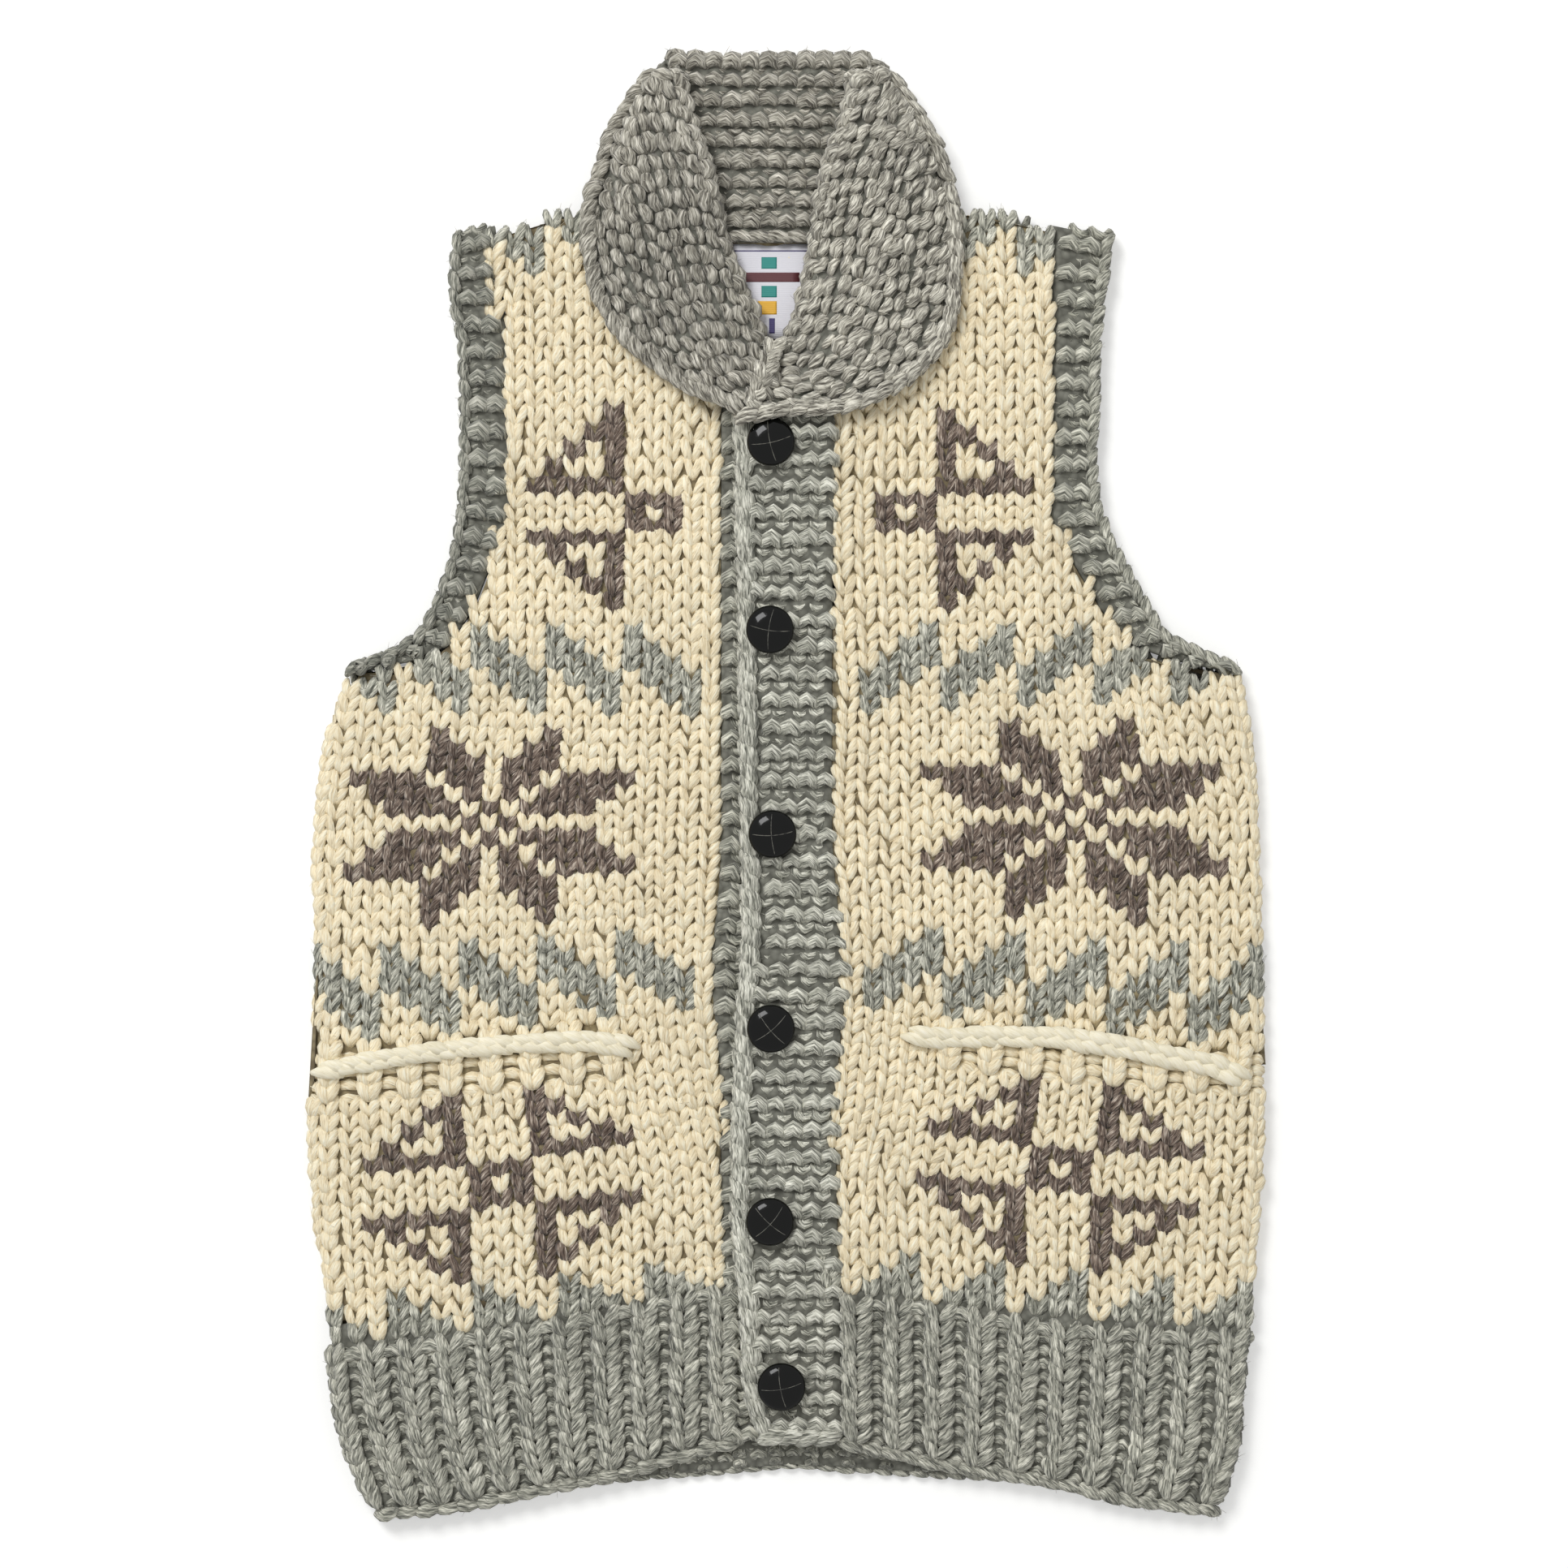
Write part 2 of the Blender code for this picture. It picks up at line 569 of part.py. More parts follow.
# ---------------------------------------------------------------- collar
def folded_section(side, row):
    """Outer and inner points round one section of the collar: its leaf, the fold and its stand."""
    fold, out, width = collar_frame(side, row)
    seam = row.seam * width
    stand_top = row.stand_z + STAND
    near = stand_top + FOLD
    radius = (near + row.leaf - row.stand_z) / 2
    middle = row.stand_z + radius

    def leaf_z(reach):
        on_fronts = row.edge_y < SHOULDER_LINE_Y
        rest = collar_rest_z((fold + out * reach)[0]) if on_fronts else BACK_LEAF + GAP
        if rest > near:
            return mix(near, rest, ease((reach - radius) / (seam - radius)))
        return mix(near, rest, ease((reach - seam - SEAM_CLEAR) / (width - seam - SEAM_CLEAR)))

    section = []
    for part in ROUND[:-1]:
        reach = width - row.leaf / 2 * part
        half = rounded(row.leaf / 2 * part, row.leaf / 2, row.leaf) / 2
        centre = leaf_z(reach) + row.leaf / 2
        section.append((reach, centre + half, reach, centre - half))
    for part in LEAF_PARTS:
        reach = mix(width - row.leaf / 2, radius, part)
        section.append((reach, leaf_z(reach) + row.leaf, reach, leaf_z(reach)))
    for turn in FOLD_TURNS:
        around, height = 1 - math.cos(turn), math.sin(turn)
        section.append((radius * around, middle + radius * height,
                        radius - FOLD / 2 * math.cos(turn), mix(near, stand_top, (1 - height) / 2)))
    for part in STAND_PARTS:
        reach = mix(radius, seam, part)
        section.append((reach, row.stand_z, reach, stand_top))
    outer = [(*(fold + out * a), z) for a, z, _, _ in section]
    inner = [(*(fold + out * a), z) for _, _, a, z in section]
    return outer, inner


def add_collar_side(side):
    """A side of the shawl collar, from the centre front to the top corner, rolled over on itself."""
    sections = [folded_section(side, row) for row in collar_rows(side)]
    add_sheet(f"collar_{side}", [s[0] for s in sections], [s[1] for s in sections], "grey_wool")


def back_neck_y(x):
    """The collar's seam along the back's neckline."""
    return back_top_y(x) + LAY


def add_collar_back():
    """The back of the collar: a stand up from the neckline, folded over, with its leaf behind it."""
    radius = (BACK_LEAF + GAP + BACK_STAND) / 2
    fold_y = BACK_COLLAR_TOP - radius
    stand_low = BACK_LEAF + GAP
    stand_high = stand_low + BACK_STAND
    first = BACK_COLLAR[0]
    levels = [row.y for row in BACK_COLLAR if row.y < fold_y]
    outer, inner = [], []

    def places(half):
        flat = list(np.linspace(BACK_LEAF - half, half - BACK_LEAF, BACK_COLLAR_COLUMNS))
        sides = [half - BACK_LEAF * part for part in ROUND[:-1]]
        return [CENTRE_X + x for x in [-x for x in sides] + flat + sides[::-1]]

    for part in (0.0, 0.5):
        xs = places(first.stand)
        outer.append([(x, mix(back_neck_y(x), first.y, part), mix(CLOTH, stand_high, part)) for x in xs])
        inner.append([(x, mix(back_neck_y(x), first.y, part), mix(0.0, stand_low, part)) for x in xs])
    for y in levels:
        xs = places(read(BACK_COLLAR, "stand", y))
        outer.append([(x, y, stand_high) for x in xs])
        inner.append([(x, y, stand_low) for x in xs])
    for turn in FOLD_TURNS:
        y, rise = fold_y + radius * math.cos(turn), (1 + math.sin(turn)) / 2
        xs = places(mix(read(BACK_COLLAR, "leaf", y), read(BACK_COLLAR, "stand", y), rise))
        outer.append([(x, y, 2 * radius * rise) for x in xs])
        inner.append([(x, fold_y + GAP / 2 * math.cos(turn), BACK_LEAF + GAP * rise) for x in xs])
    for y in levels[::-1]:
        half = read(BACK_COLLAR, "leaf", y)
        xs = places(half)
        thick = [rounded(half - abs(x - CENTRE_X), BACK_LEAF, BACK_LEAF) for x in xs]
        outer.append([(x, y, BACK_LEAF - rise) for x, rise in zip(xs, thick)])
        inner.append([(x, y, BACK_LEAF) for x in xs])
    add_sheet("collar_back", outer, inner, "grey_wool")


# ---------------------------------------------------------------- pocket edges, label and buttons
def add_pocket_edge(side):
    """The rolled cord along a pocket's opening, lying on its front."""
    points = POCKET_RIGHT if side == "right" else POCKET_LEFT
    line = np.array([(row.x, row.y) for row in points])
    half = POCKET_CORD_WIDTH / 2
    across = [shifted(line, half * part) for part in CORD_PARTS]
    grid = []
    for i in range(len(line)):
        row = []
        for part, moved in zip(CORD_PARTS, across):
            x, y = moved[i]
            thick = rounded(half * (1 - abs(part)), half, POCKET_CORD_HEIGHT)
            row.append((x, y, front_z(side, x) + CLOTH + LAY, thick))
        grid.append(row)
    add_layer(f"pocket_edge_{side}", grid, "cream_wool")


def add_label():
    """The woven label, sewn flat inside the back's neck."""
    half_x, half_y = LABEL_SIZE[0] / 2, LABEL_SIZE[1] / 2
    grid = []
    for y in (-half_y, 0.0, half_y):
        grid.append([(CENTRE_X + x, LABEL_CENTRE_Y + y, BACK_TOP + GAP, LABEL) for x in (-half_x, 0.0, half_x)])
    add_layer("neck_label", grid, "woven_label")


def add_button(number, place):
    """A domed button with a small foot, resting on the upper button band."""
    mesh = bmesh.new()
    rings = []
    for radius, height in BUTTON_PROFILE:
        ring = []
        for k in range(BUTTON_SIDES):
            turn = 2 * math.pi * k / BUTTON_SIDES
            x = place.x + radius * math.cos(turn)
            y = place.y + radius * math.sin(turn)
            ring.append(mesh.verts.new(np.array((x, y, BUTTON_Z + height)) * MM))
        rings.append(ring)
    for low, high in zip(rings, rings[1:]):
        for k in range(BUTTON_SIDES):
            after = (k + 1) % BUTTON_SIDES
            mesh.faces.new((low[k], low[after], high[after], high[k]))
    mesh.faces.new(rings[0][::-1])
    mesh.faces.new(rings[-1])
    add_object(f"button_{number}", mesh, "black_button")


def build():
    """Clears the scene and makes the whole vest."""
    for old in list(bpy.data.objects):
        bpy.data.objects.remove(old, do_unlink=True)
    add_back()
    add_back_rib()
    for side in ("right", "left"):
        add_front(side)
        add_front_rib(side)
        for layer in ("back", "front"):
            add_armhole_band(side, layer)
        add_pocket_edge(side)
        add_collar_side(side)
    add_button_bands()
    add_collar_back()
    add_label()
    for number, place in enumerate(BUTTONS, start=1):
        add_button(number, place)


build()
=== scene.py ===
# %% [markdown]
# # A hand-knit vest in thick wool, laid flat
#
# The vest is knitted in yarn about 5 mm thick, so every stitch is large enough to see.  A flat colour or a
# bumpy picture of knitting would not do: the light has to catch each loop.  So this lesson lays every
# stitch as a short length of yarn on a thin base of cloth, row by row, the way that a knitter would.
#
# The sizes and places come from the plain solids of the same vest, which are loaded first and never moved.
# Sizes are in millimetres until a mesh is made.  +Y runs from the hem to the neck, +X towards the wearer's
# left and +Z up through the layers.  Right and left are the wearer's.

# %% Load the fixed frame
import math
from collections import namedtuple

import bpy
import numpy as np
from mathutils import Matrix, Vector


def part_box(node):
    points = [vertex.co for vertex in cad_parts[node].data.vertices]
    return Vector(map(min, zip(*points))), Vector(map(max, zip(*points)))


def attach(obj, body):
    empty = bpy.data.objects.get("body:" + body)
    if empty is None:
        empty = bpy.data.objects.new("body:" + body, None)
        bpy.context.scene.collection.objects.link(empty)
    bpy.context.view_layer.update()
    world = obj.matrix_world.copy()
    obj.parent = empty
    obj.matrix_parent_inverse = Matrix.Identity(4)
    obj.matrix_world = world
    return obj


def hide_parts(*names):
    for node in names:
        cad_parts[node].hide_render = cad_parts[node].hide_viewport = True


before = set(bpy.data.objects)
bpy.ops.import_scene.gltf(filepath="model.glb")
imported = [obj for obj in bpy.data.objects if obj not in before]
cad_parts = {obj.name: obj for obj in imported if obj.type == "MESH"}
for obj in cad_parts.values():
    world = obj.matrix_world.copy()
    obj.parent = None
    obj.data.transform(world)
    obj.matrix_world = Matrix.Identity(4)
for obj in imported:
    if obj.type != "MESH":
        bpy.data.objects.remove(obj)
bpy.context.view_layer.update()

MM = 0.001
draw = np.random.default_rng(11)


def box_mm(node):
    """Lowest and highest corner of one of the solids, in millimetres."""
    low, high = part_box(node)
    return np.array(low) / MM, np.array(high) / MM


# %% [markdown]
# ## Reading outlines from the solids
#
# The knitting has to end exactly where the cloth does.  Instead of writing the outline down a second time,
# it is measured: the solids' edges are cut by level lines, and the lowest and highest crossing are kept.

# %% Outlines of the solids
Outline = namedtuple("Outline", "at low high")
LEVEL_STEP = 1.0      # millimetres between two levels


def outline(names, along=1, across=0):
    """The reach of some solids across one axis, at places along another."""
    starts, ends = [], []
    for name in names:
        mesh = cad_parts[name].data
        points = np.empty(len(mesh.vertices) * 3)
        mesh.vertices.foreach_get("co", points)
        points = points.reshape(-1, 3) / MM
        edges = np.empty(len(mesh.edges) * 2, dtype=np.int32)
        mesh.edges.foreach_get("vertices", edges)
        starts.append(points[edges[0::2]])
        ends.append(points[edges[1::2]])
    start, end = np.concatenate(starts), np.concatenate(ends)
    at = np.arange(start[:, along].min() + 0.2, start[:, along].max(), LEVEL_STEP)
    lows, highs = [], []
    for level in at:
        before, after = start[:, along] - level, end[:, along] - level
        cut = (before * after <= 0) & (before != after)
        part = before[cut] / (before[cut] - after[cut])
        crossing = start[cut, across] + part * (end[cut, across] - start[cut, across])
        lows.append(crossing.min())
        highs.append(crossing.max())
    return Outline(at, np.array(lows), np.array(highs))


def low_at(found, where):
    """The low side of an outline, at some places along it."""
    return np.interp(where, found.at, found.low)


def high_at(found, where):
    """The high side of an outline, at some places along it."""
    return np.interp(where, found.at, found.high)


SIDES = {"right": -1, "left": 1}
FRONTS = {side: outline([f"front_{side}_panel", f"front_{side}_hem_rib"]) for side in SIDES}
BACK = outline(["back_panel", "back_hem_rib"])
SHOULDERS = {side: outline([f"front_{side}_panel"], along=0, across=1) for side in SIDES}
BACK_TOP_LINE = outline(["back_panel"], along=0, across=1)
print("front outlines read at", {side: len(found.at) for side, found in FRONTS.items()}, "heights")

# %% [markdown]
# ## Where the cloth lies
#
# The cloth is 7 mm thick.  A front lies on the back, folds down over its side and meets the back half way.
# A point on it is given by how far it is over the cloth from the button band, and by its height up the
# vest.  One function answers for all of them, so the base and every stitch on it agree.

# %% Measures of the fronts
CLOTH = 7.0                   # thickness of the knitted cloth
UNDERARM = 58.5               # the side folds end and the armholes start at this height
NECK_START = 198.0            # and here the fronts leave their bands for the neckline
BAND_FOOT, BAND_HEAD = -338.0, 190.0      # heights at which a front's edge is carried on straight
RAMP_END = 70.0               # where the left front starts to climb onto the lower band, across the vest
FRONT_TOP = box_mm("front_right_panel")[1][2]
RIB_TOP = box_mm("front_right_hem_rib")[1][2]
FOLD = FRONT_TOP - box_mm("front_right_panel")[0][2]      # radius of the side folds
BAND_EDGE = {}
for side in SIDES:
    found = FRONTS[side]
    inner = found.high if side == "right" else found.low
    foot, head = np.interp([BAND_FOOT, BAND_HEAD], found.at, inner)
    edge = np.where(found.at < NECK_START, inner, head)
    BAND_EDGE[side] = np.where(found.at < BAND_FOOT, foot, edge)
RAMP_RISE = box_mm("front_left_panel")[1][2] - FRONT_TOP
print(f"front top {FRONT_TOP:.1f}, rib top {RIB_TOP:.1f}, left front rises {RAMP_RISE:.1f} mm to its band")

# %% Creases of the cloth
# Soft hollows (negative) and swellings of the cloth: centre, half length, half width, lean and height.
Crease = namedtuple("Crease", "x y long wide lean rise")
CREASES = [
    Crease(-60.0, 60.0, 120.0, 16.0, 8.0, -1.1),
    Crease(-120.0, -60.0, 90.0, 24.0, 70.0, 0.8),
    Crease(-150.0, -128.0, 75.0, 9.0, 92.0, -1.3),
    Crease(-120.0, 200.0, 70.0, 18.0, -20.0, -0.9),
    Crease(-205.0, 10.0, 90.0, 15.0, 12.0, -0.8),
    Crease(50.0, -90.0, 150.0, 12.0, -3.0, -1.2),
    Crease(112.0, 60.0, 100.0, 30.0, 60.0, 0.9),
    Crease(155.0, -124.0, 80.0, 9.0, 86.0, -1.3),
    Crease(100.0, 215.0, 75.0, 16.0, 25.0, -1.0),
    Crease(205.0, -30.0, 110.0, 14.0, -10.0, -0.7),
    Crease(130.0, -215.0, 60.0, 26.0, 80.0, 0.8),
    Crease(-140.0, -215.0, 60.0, 26.0, 100.0, 0.8),
]


def relief(x, y):
    """Height of the creases at a place."""
    rise = np.zeros(np.broadcast(x, y).shape)
    for crease in CREASES:
        turn = math.radians(crease.lean)
        along = (x - crease.x) * math.sin(turn) + (y - crease.y) * math.cos(turn)
        across = (x - crease.x) * math.cos(turn) - (y - crease.y) * math.sin(turn)
        rise = rise + crease.rise * np.exp(-(along / crease.long) ** 2 - (across / crease.wide) ** 2)
    return rise


# %% A point on a front
def ease(t):
    """Rises smoothly from 0 to 1 as t does."""
    t = np.clip(t, 0.0, 1.0)
    return t * t * (3 - 2 * t)


def front_rise(side, x):
    """How much higher a front lies than on the back alone, where it climbs to the upper band."""
    if side == "right":
        return np.zeros_like(x)
    start = BAND_EDGE["left"].max()
    return RAMP_RISE * ease((RAMP_END - x) / (RAMP_END - start))


def front_edges(side, y):
    """Where a front starts at its band, its neck edge and its outer edge, across the vest at some heights."""
    found = FRONTS[side]
    inner, outer = (found.high, found.low) if side == "right" else (found.low, found.high)
    return [np.interp(y, found.at, edge) for edge in (BAND_EDGE[side], inner, outer)]


def front_point(side, reach, y, sink=0.0, top=FRONT_TOP):
    """A point on a front, at a reach over the cloth from its band and a height up the vest."""
    start, _, outer = front_edges(side, y)
    wide = np.abs(outer - start)
    turn = np.where(y < UNDERARM, np.clip((reach - wide + FOLD) / FOLD, 0, math.pi / 2), 0.0)
    flat = np.where(turn > 0, wide - FOLD, reach)
    x = start + SIDES[side] * (flat + (FOLD - sink) * np.sin(turn))
    over = np.clip((y - high_at(SHOULDERS[side], x) + CLOTH) / CLOTH, 0, 1)
    drop = FOLD * (1 - np.sqrt(1 - over ** 2))
    z = top - FOLD + (FOLD - sink) * np.cos(turn) - drop
    z = z + (front_rise(side, x) + relief(x, y)) * np.cos(turn)
    return np.stack(np.broadcast_arrays(x, y, z), axis=-1)


# %% [markdown]
# ## A length of yarn
#
# A stitch is not a loose shape but a piece of one long yarn, fat where it lies on top and thin where it
# dives under its neighbour.  Each is swept as a closed tube: a few rings of points round a centre line and
# a tip at both ends.  All the stitches of one yarn are made together with numpy, because a loop over tens
# of thousands of them in Python would be slow, and Blender gets them as one joined mesh.
#
# Every point also keeps its place along and round the yarn, in millimetres, and a number drawn for its
# stitch.  The wool's material uses them, so its fibres run along the yarn wherever it goes.

# %% Faces of a tube, and where its fibres run
def unit(vectors):
    """The same directions with a length of one."""
    return vectors / np.maximum(np.linalg.norm(vectors, axis=-1, keepdims=True), 1e-9)


def tube_faces(rings, corners):
    """Faces of one tube: the quads between its rings, and the triangles that close it at two tips."""
    ring, corner = np.meshgrid(np.arange(rings - 1), np.arange(corners), indexing="ij")
    after = (corner + 1) % corners
    quads = np.stack([ring * corners + corner, (ring + 1) * corners + corner,
                      (ring + 1) * corners + after, ring * corners + after], axis=-1).reshape(-1, 4)
    here, after = np.arange(corners), (np.arange(corners) + 1) % corners
    last, tip = (rings - 1) * corners, rings * corners
    start = np.stack([np.full(corners, tip), here, after], axis=-1)
    end = np.stack([np.full(corners, tip + 1), last + after, last + here], axis=-1)
    return quads, np.concatenate([start, end])


def tube_fibres(lines, wide, deep, corners):
    """For each point of some tubes: its place round and along the yarn, and the number of its tube."""
    number, rings, _ = lines.shape
    steps = np.linalg.norm(np.diff(lines, axis=1), axis=2)
    along = np.concatenate([np.zeros((number, 1)), np.cumsum(steps, axis=1)], axis=1)
    girth = np.pi * (wide.max(axis=1) + deep.max(axis=1))
    around = girth[:, None, None] * (np.arange(corners) / corners)
    fibres = np.zeros((number, rings * corners + 2, 3))
    fibres[:, :-2, 0] = np.broadcast_to(around, (number, rings, corners)).reshape(number, -1)
    fibres[:, :-2, 1] = np.repeat(along, corners, axis=1)
    fibres[:, -2:, 0] = girth[:, None] / 2
    fibres[:, -1, 1] = along[:, -1]
    fibres[:, :, 2] = draw.uniform(0, 1000, number)[:, None]
    return fibres


# %% Yarn as swept tubes
SIDES_SEEN = 6      # corners round a stitch that shows
SIDES_HIDDEN = 4    # and round one that lies against the table


class Skein:
    """All the yarn of one piece: stitches are laid one batch after another, then made into a mesh."""

    def __init__(self):
        self.points, self.fibre, self.quads, self.threes = [], [], [], []
        self.places = []
        self.count, self.lengths = 0, 0

    def lay(self, lines, out, wide, deep, corners=SIDES_SEEN):
        """Sweeps tubes along many centre lines at once, with half widths and half depths along them."""
        number, rings, _ = lines.shape
        if number == 0:
            return
        wide, deep = (np.broadcast_to(half, (number, rings)) for half in (wide, deep))
        run = unit(np.gradient(lines, axis=1))
        side = unit(np.cross(run, out[:, None, :]))
        lift = np.cross(side, run)
        turns = 2 * math.pi * np.arange(corners) / corners - math.pi / 2
        across = side[:, :, None, :] * (wide[:, :, None] * np.cos(turns))[..., None]
        upward = lift[:, :, None, :] * (deep[:, :, None] * np.sin(turns))[..., None]
        tubes = (lines[:, :, None, :] + across + upward).reshape(number, rings * corners, 3)
        reach = np.array([-0.6, 0.6])[None, :, None] * deep[:, [0, -1], None]
        tips = lines[:, [0, -1]] + run[:, [0, -1]] * reach
        size = rings * corners + 2
        shifts = self.count + size * np.arange(number)[:, None, None]
        quads, threes = tube_faces(rings, corners)
        self.quads.append((quads + shifts).reshape(-1, 4))
        self.threes.append((threes + shifts).reshape(-1, 3))
        self.points.append(np.concatenate([tubes, tips], axis=1).reshape(-1, 3))
        self.fibre.append(tube_fibres(lines, wide, deep, corners).reshape(-1, 3))
        self.count += number * size
        self.lengths += number
        inner = [np.broadcast_to(values, lines.shape)[:, 1:-1].reshape(-1, 3)
                 for values in (lines, run, lift, deep[..., None])]
        self.places.append(np.stack(inner, axis=1))

    def piece(self, name, material):
        """The mesh object of everything that was laid."""
        quads, threes = np.concatenate(self.quads), np.concatenate(self.threes)
        points = np.concatenate(self.points)
        points[:, 2] = np.maximum(points[:, 2], 0.0)      # pressed flat where the vest rests
        made = mesh_piece(name, points, quads.tolist() + threes.tolist(), material)
        data = made.data.attributes.new("fibre", "FLOAT_VECTOR", "POINT")
        data.data.foreach_set("vector", np.concatenate(self.fibre).astype(np.float32).ravel())
        print(f"{name}: {self.lengths} lengths of yarn, {2 * len(quads) + len(threes)} triangles")
        return made


# %% Loose hairs
HAIR_LOW = (2.5, 0.2, -1.6)     # a loose hair's length, how far it lifts and how far it bends, at least
HAIR_HIGH = (6.0, 1.3, 1.6)     # and at most
HAIR_HALF = (0.15, 0.13, 0.06)  # half its width, from its root to its tip


def fray(skein, each):
    """Lays loose hairs that stand a little off the yarn, so many for each length of it."""
    places = np.concatenate(skein.places)
    number = int(skein.lengths * each)
    at, run, up, deep = np.moveaxis(places[draw.integers(0, len(places), number)], 1, 0)
    side = np.cross(run, up)
    round_yarn = draw.uniform(-1.2, 1.2, number)[:, None]
    up = up * np.cos(round_yarn) + side * np.sin(round_yarn)
    aside = draw.normal(0, 0.8, number)[:, None]
    way = run * np.cos(aside) + np.cross(run, up) * np.sin(aside)
    long, off, bend = draw.uniform(HAIR_LOW, HAIR_HIGH, (number, 3)).T[:, :, None]
    part = np.array([0.0, 0.5, 1.0])[None, :, None]
    lines = (at + up * deep * 0.85)[:, None] + way[:, None] * long[:, None] * part
    lines = lines + up[:, None] * off[:, None] * part
    lines = lines + np.cross(way, up)[:, None] * bend[:, None] * part ** 2
    skein.lay(lines, up, HAIR_HALF, HAIR_HALF, corners=3)


# %% Make a mesh that rides on the vest
def mesh_piece(name, points, faces, material):
    """A smooth object that rides on the vest, from points in millimetres."""
    mesh = bpy.data.meshes.new(name)
    mesh.from_pydata((np.asarray(points) * MM).tolist(), [], faces)
    mesh.materials.append(material)
    mesh.shade_smooth()
    made = bpy.data.objects.new(name, mesh)
    bpy.context.scene.collection.objects.link(made)
    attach(made, "root")
    return made


# %% [markdown]
# ## Stitches
#
# A stocking stitch shows as a V: two legs that start together under the stitch below and lean apart until
# they dive behind the stitch above.  A purl or garter stitch shows as a bump, an arch of yarn that lies
# across the cloth.  Both are given by a few rings, in parts of a stitch's width and height, so the same
# shape fits wherever the knitting is tighter or looser.  No two hand-knit stitches are alike, so each is
# turned, shifted and swollen a little by drawn numbers.

# %% Stitch shapes and how they are placed
# One length of yarn: across and along are parts of a stitch, the rest is in millimetres.
Shape = namedtuple("Shape", "across along out wide deep")


def stitch_shape(**rings):
    """A shape from five lists, each with one number for every ring."""
    return Shape(**{name: np.array(numbers) for name, numbers in rings.items()})


LEG = stitch_shape(
    across=[0.04, 0.125, 0.245, 0.36, 0.4],
    along=[-0.16, 0.16, 0.56, 1.0, 1.36],
    out=[-1.5, 0.4, 0.9, 0.0, -2.4],
    wide=[1.2, 2.3, 2.8, 2.6, 1.4],
    deep=[1.1, 1.9, 2.3, 2.1, 1.1],
)
LEG_HIDDEN = stitch_shape(
    across=[0.06, 0.25, 0.39],
    along=[-0.1, 0.6, 1.32],
    out=[-0.9, 0.5, -1.6],
    wide=[1.6, 2.7, 1.6],
    deep=[1.4, 2.2, 1.4],
)
ARCH = stitch_shape(
    across=[-0.52, -0.34, 0.0, 0.34, 0.52],
    along=[-0.3, -0.02, 0.16, -0.02, -0.3],
    out=[-1.8, 0.0, 0.8, 0.0, -1.8],
    wide=[1.3, 2.5, 2.9, 2.5, 1.3],
    deep=[1.2, 2.2, 2.5, 2.2, 1.2],
)
RIDGE_LOOP = stitch_shape(
    across=[-0.5, -0.29, 0.0, 0.29, 0.5],
    along=[-0.42, -0.06, 0.14, -0.06, -0.42],
    out=[-2.8, 0.0, 0.9, 0.0, -2.8],
    wide=[1.4, 2.6, 3.1, 2.6, 1.4],
    deep=[1.3, 2.2, 2.7, 2.2, 1.3],
)
FOOT = stitch_shape(
    across=[-0.52, -0.28, 0.0, 0.28, 0.52],
    along=[-0.45, -0.05, 0.12, -0.05, -0.45],
    out=[-1.0, 0.1, 0.5, 0.1, -1.0],
    wide=[1.8, 2.3, 2.5, 2.3, 1.8],
    deep=[1.5, 1.8, 2.0, 1.8, 1.5],
)
CURL = stitch_shape(
    across=[-0.46, -0.27, 0.0, 0.27, 0.46],
    along=[-0.14, 0.0, 0.08, 0.0, -0.14],
    out=[-2.6, 0.0, 0.9, 0.0, -2.6],
    wide=[1.4, 2.9, 3.4, 2.9, 1.4],
    deep=[1.4, 2.5, 2.9, 2.5, 1.4],
)
GRAIN = stitch_shape(
    across=[-0.5, -0.26, 0.0, 0.26, 0.5],
    along=[-0.1, 0.02, 0.06, 0.02, -0.1],
    out=[-1.9, 0.1, 0.9, 0.1, -1.9],
    wide=[1.1, 2.5, 3.1, 2.6, 1.2],
    deep=[1.1, 2.1, 2.5, 2.2, 1.2],
)

# %% Where stitches lie, and how they are laid
# The middle of each stitch, its width and height as vectors, and the way out of the cloth.
Places = namedtuple("Places", "at across along out")
TURN_STRAY = math.radians(3.0)      # how far a stitch is turned from its place, on average
SWELL_STRAY = 0.06                  # how much thicker or thinner it is, as a part
SHIFT_STRAY = 0.22                  # and how far it is moved, in millimetres


def chosen(places, mask):
    """Some of the places."""
    return Places(*(values[mask] for values in places))


def lay_stitches(skein, places, shape, mirror=1, plump=1.0, lift=0.0, lean=0.0, stray=1.0,
                 corners=SIDES_SEEN):
    """Lays one length of yarn at each place, a little differently each time."""
    number = len(places.at)
    if number == 0:
        return
    turn = math.radians(lean) * mirror + draw.normal(0, TURN_STRAY, number) * stray
    swell = plump * (1 + draw.normal(0, SWELL_STRAY, number) * stray)
    shift = draw.normal(0, SHIFT_STRAY, (number, 3)) * stray
    cos, sin = np.cos(turn)[:, None], np.sin(turn)[:, None]
    wide = np.linalg.norm(places.across, axis=1, keepdims=True)
    high = np.linalg.norm(places.along, axis=1, keepdims=True)
    right, up = unit(places.across), unit(places.along)
    u, v = mirror * shape.across * wide, shape.along * high
    u, v = u * cos + v * sin, v * cos - u * sin
    lines = places.at[:, None] + u[..., None] * right[:, None] + v[..., None] * up[:, None]
    lines = lines + (shape.out + lift)[:, None] * places.out[:, None] + shift[:, None]
    swell = swell[:, None]
    skein.lay(lines, places.out, shape.wide * swell, shape.deep * swell, corners)


def lay_knit(skein, places, shape=LEG, **settings):
    """Both legs of each stocking stitch."""
    lay_stitches(skein, places, shape, mirror=1, **settings)
    lay_stitches(skein, places, shape, mirror=-1, **settings)


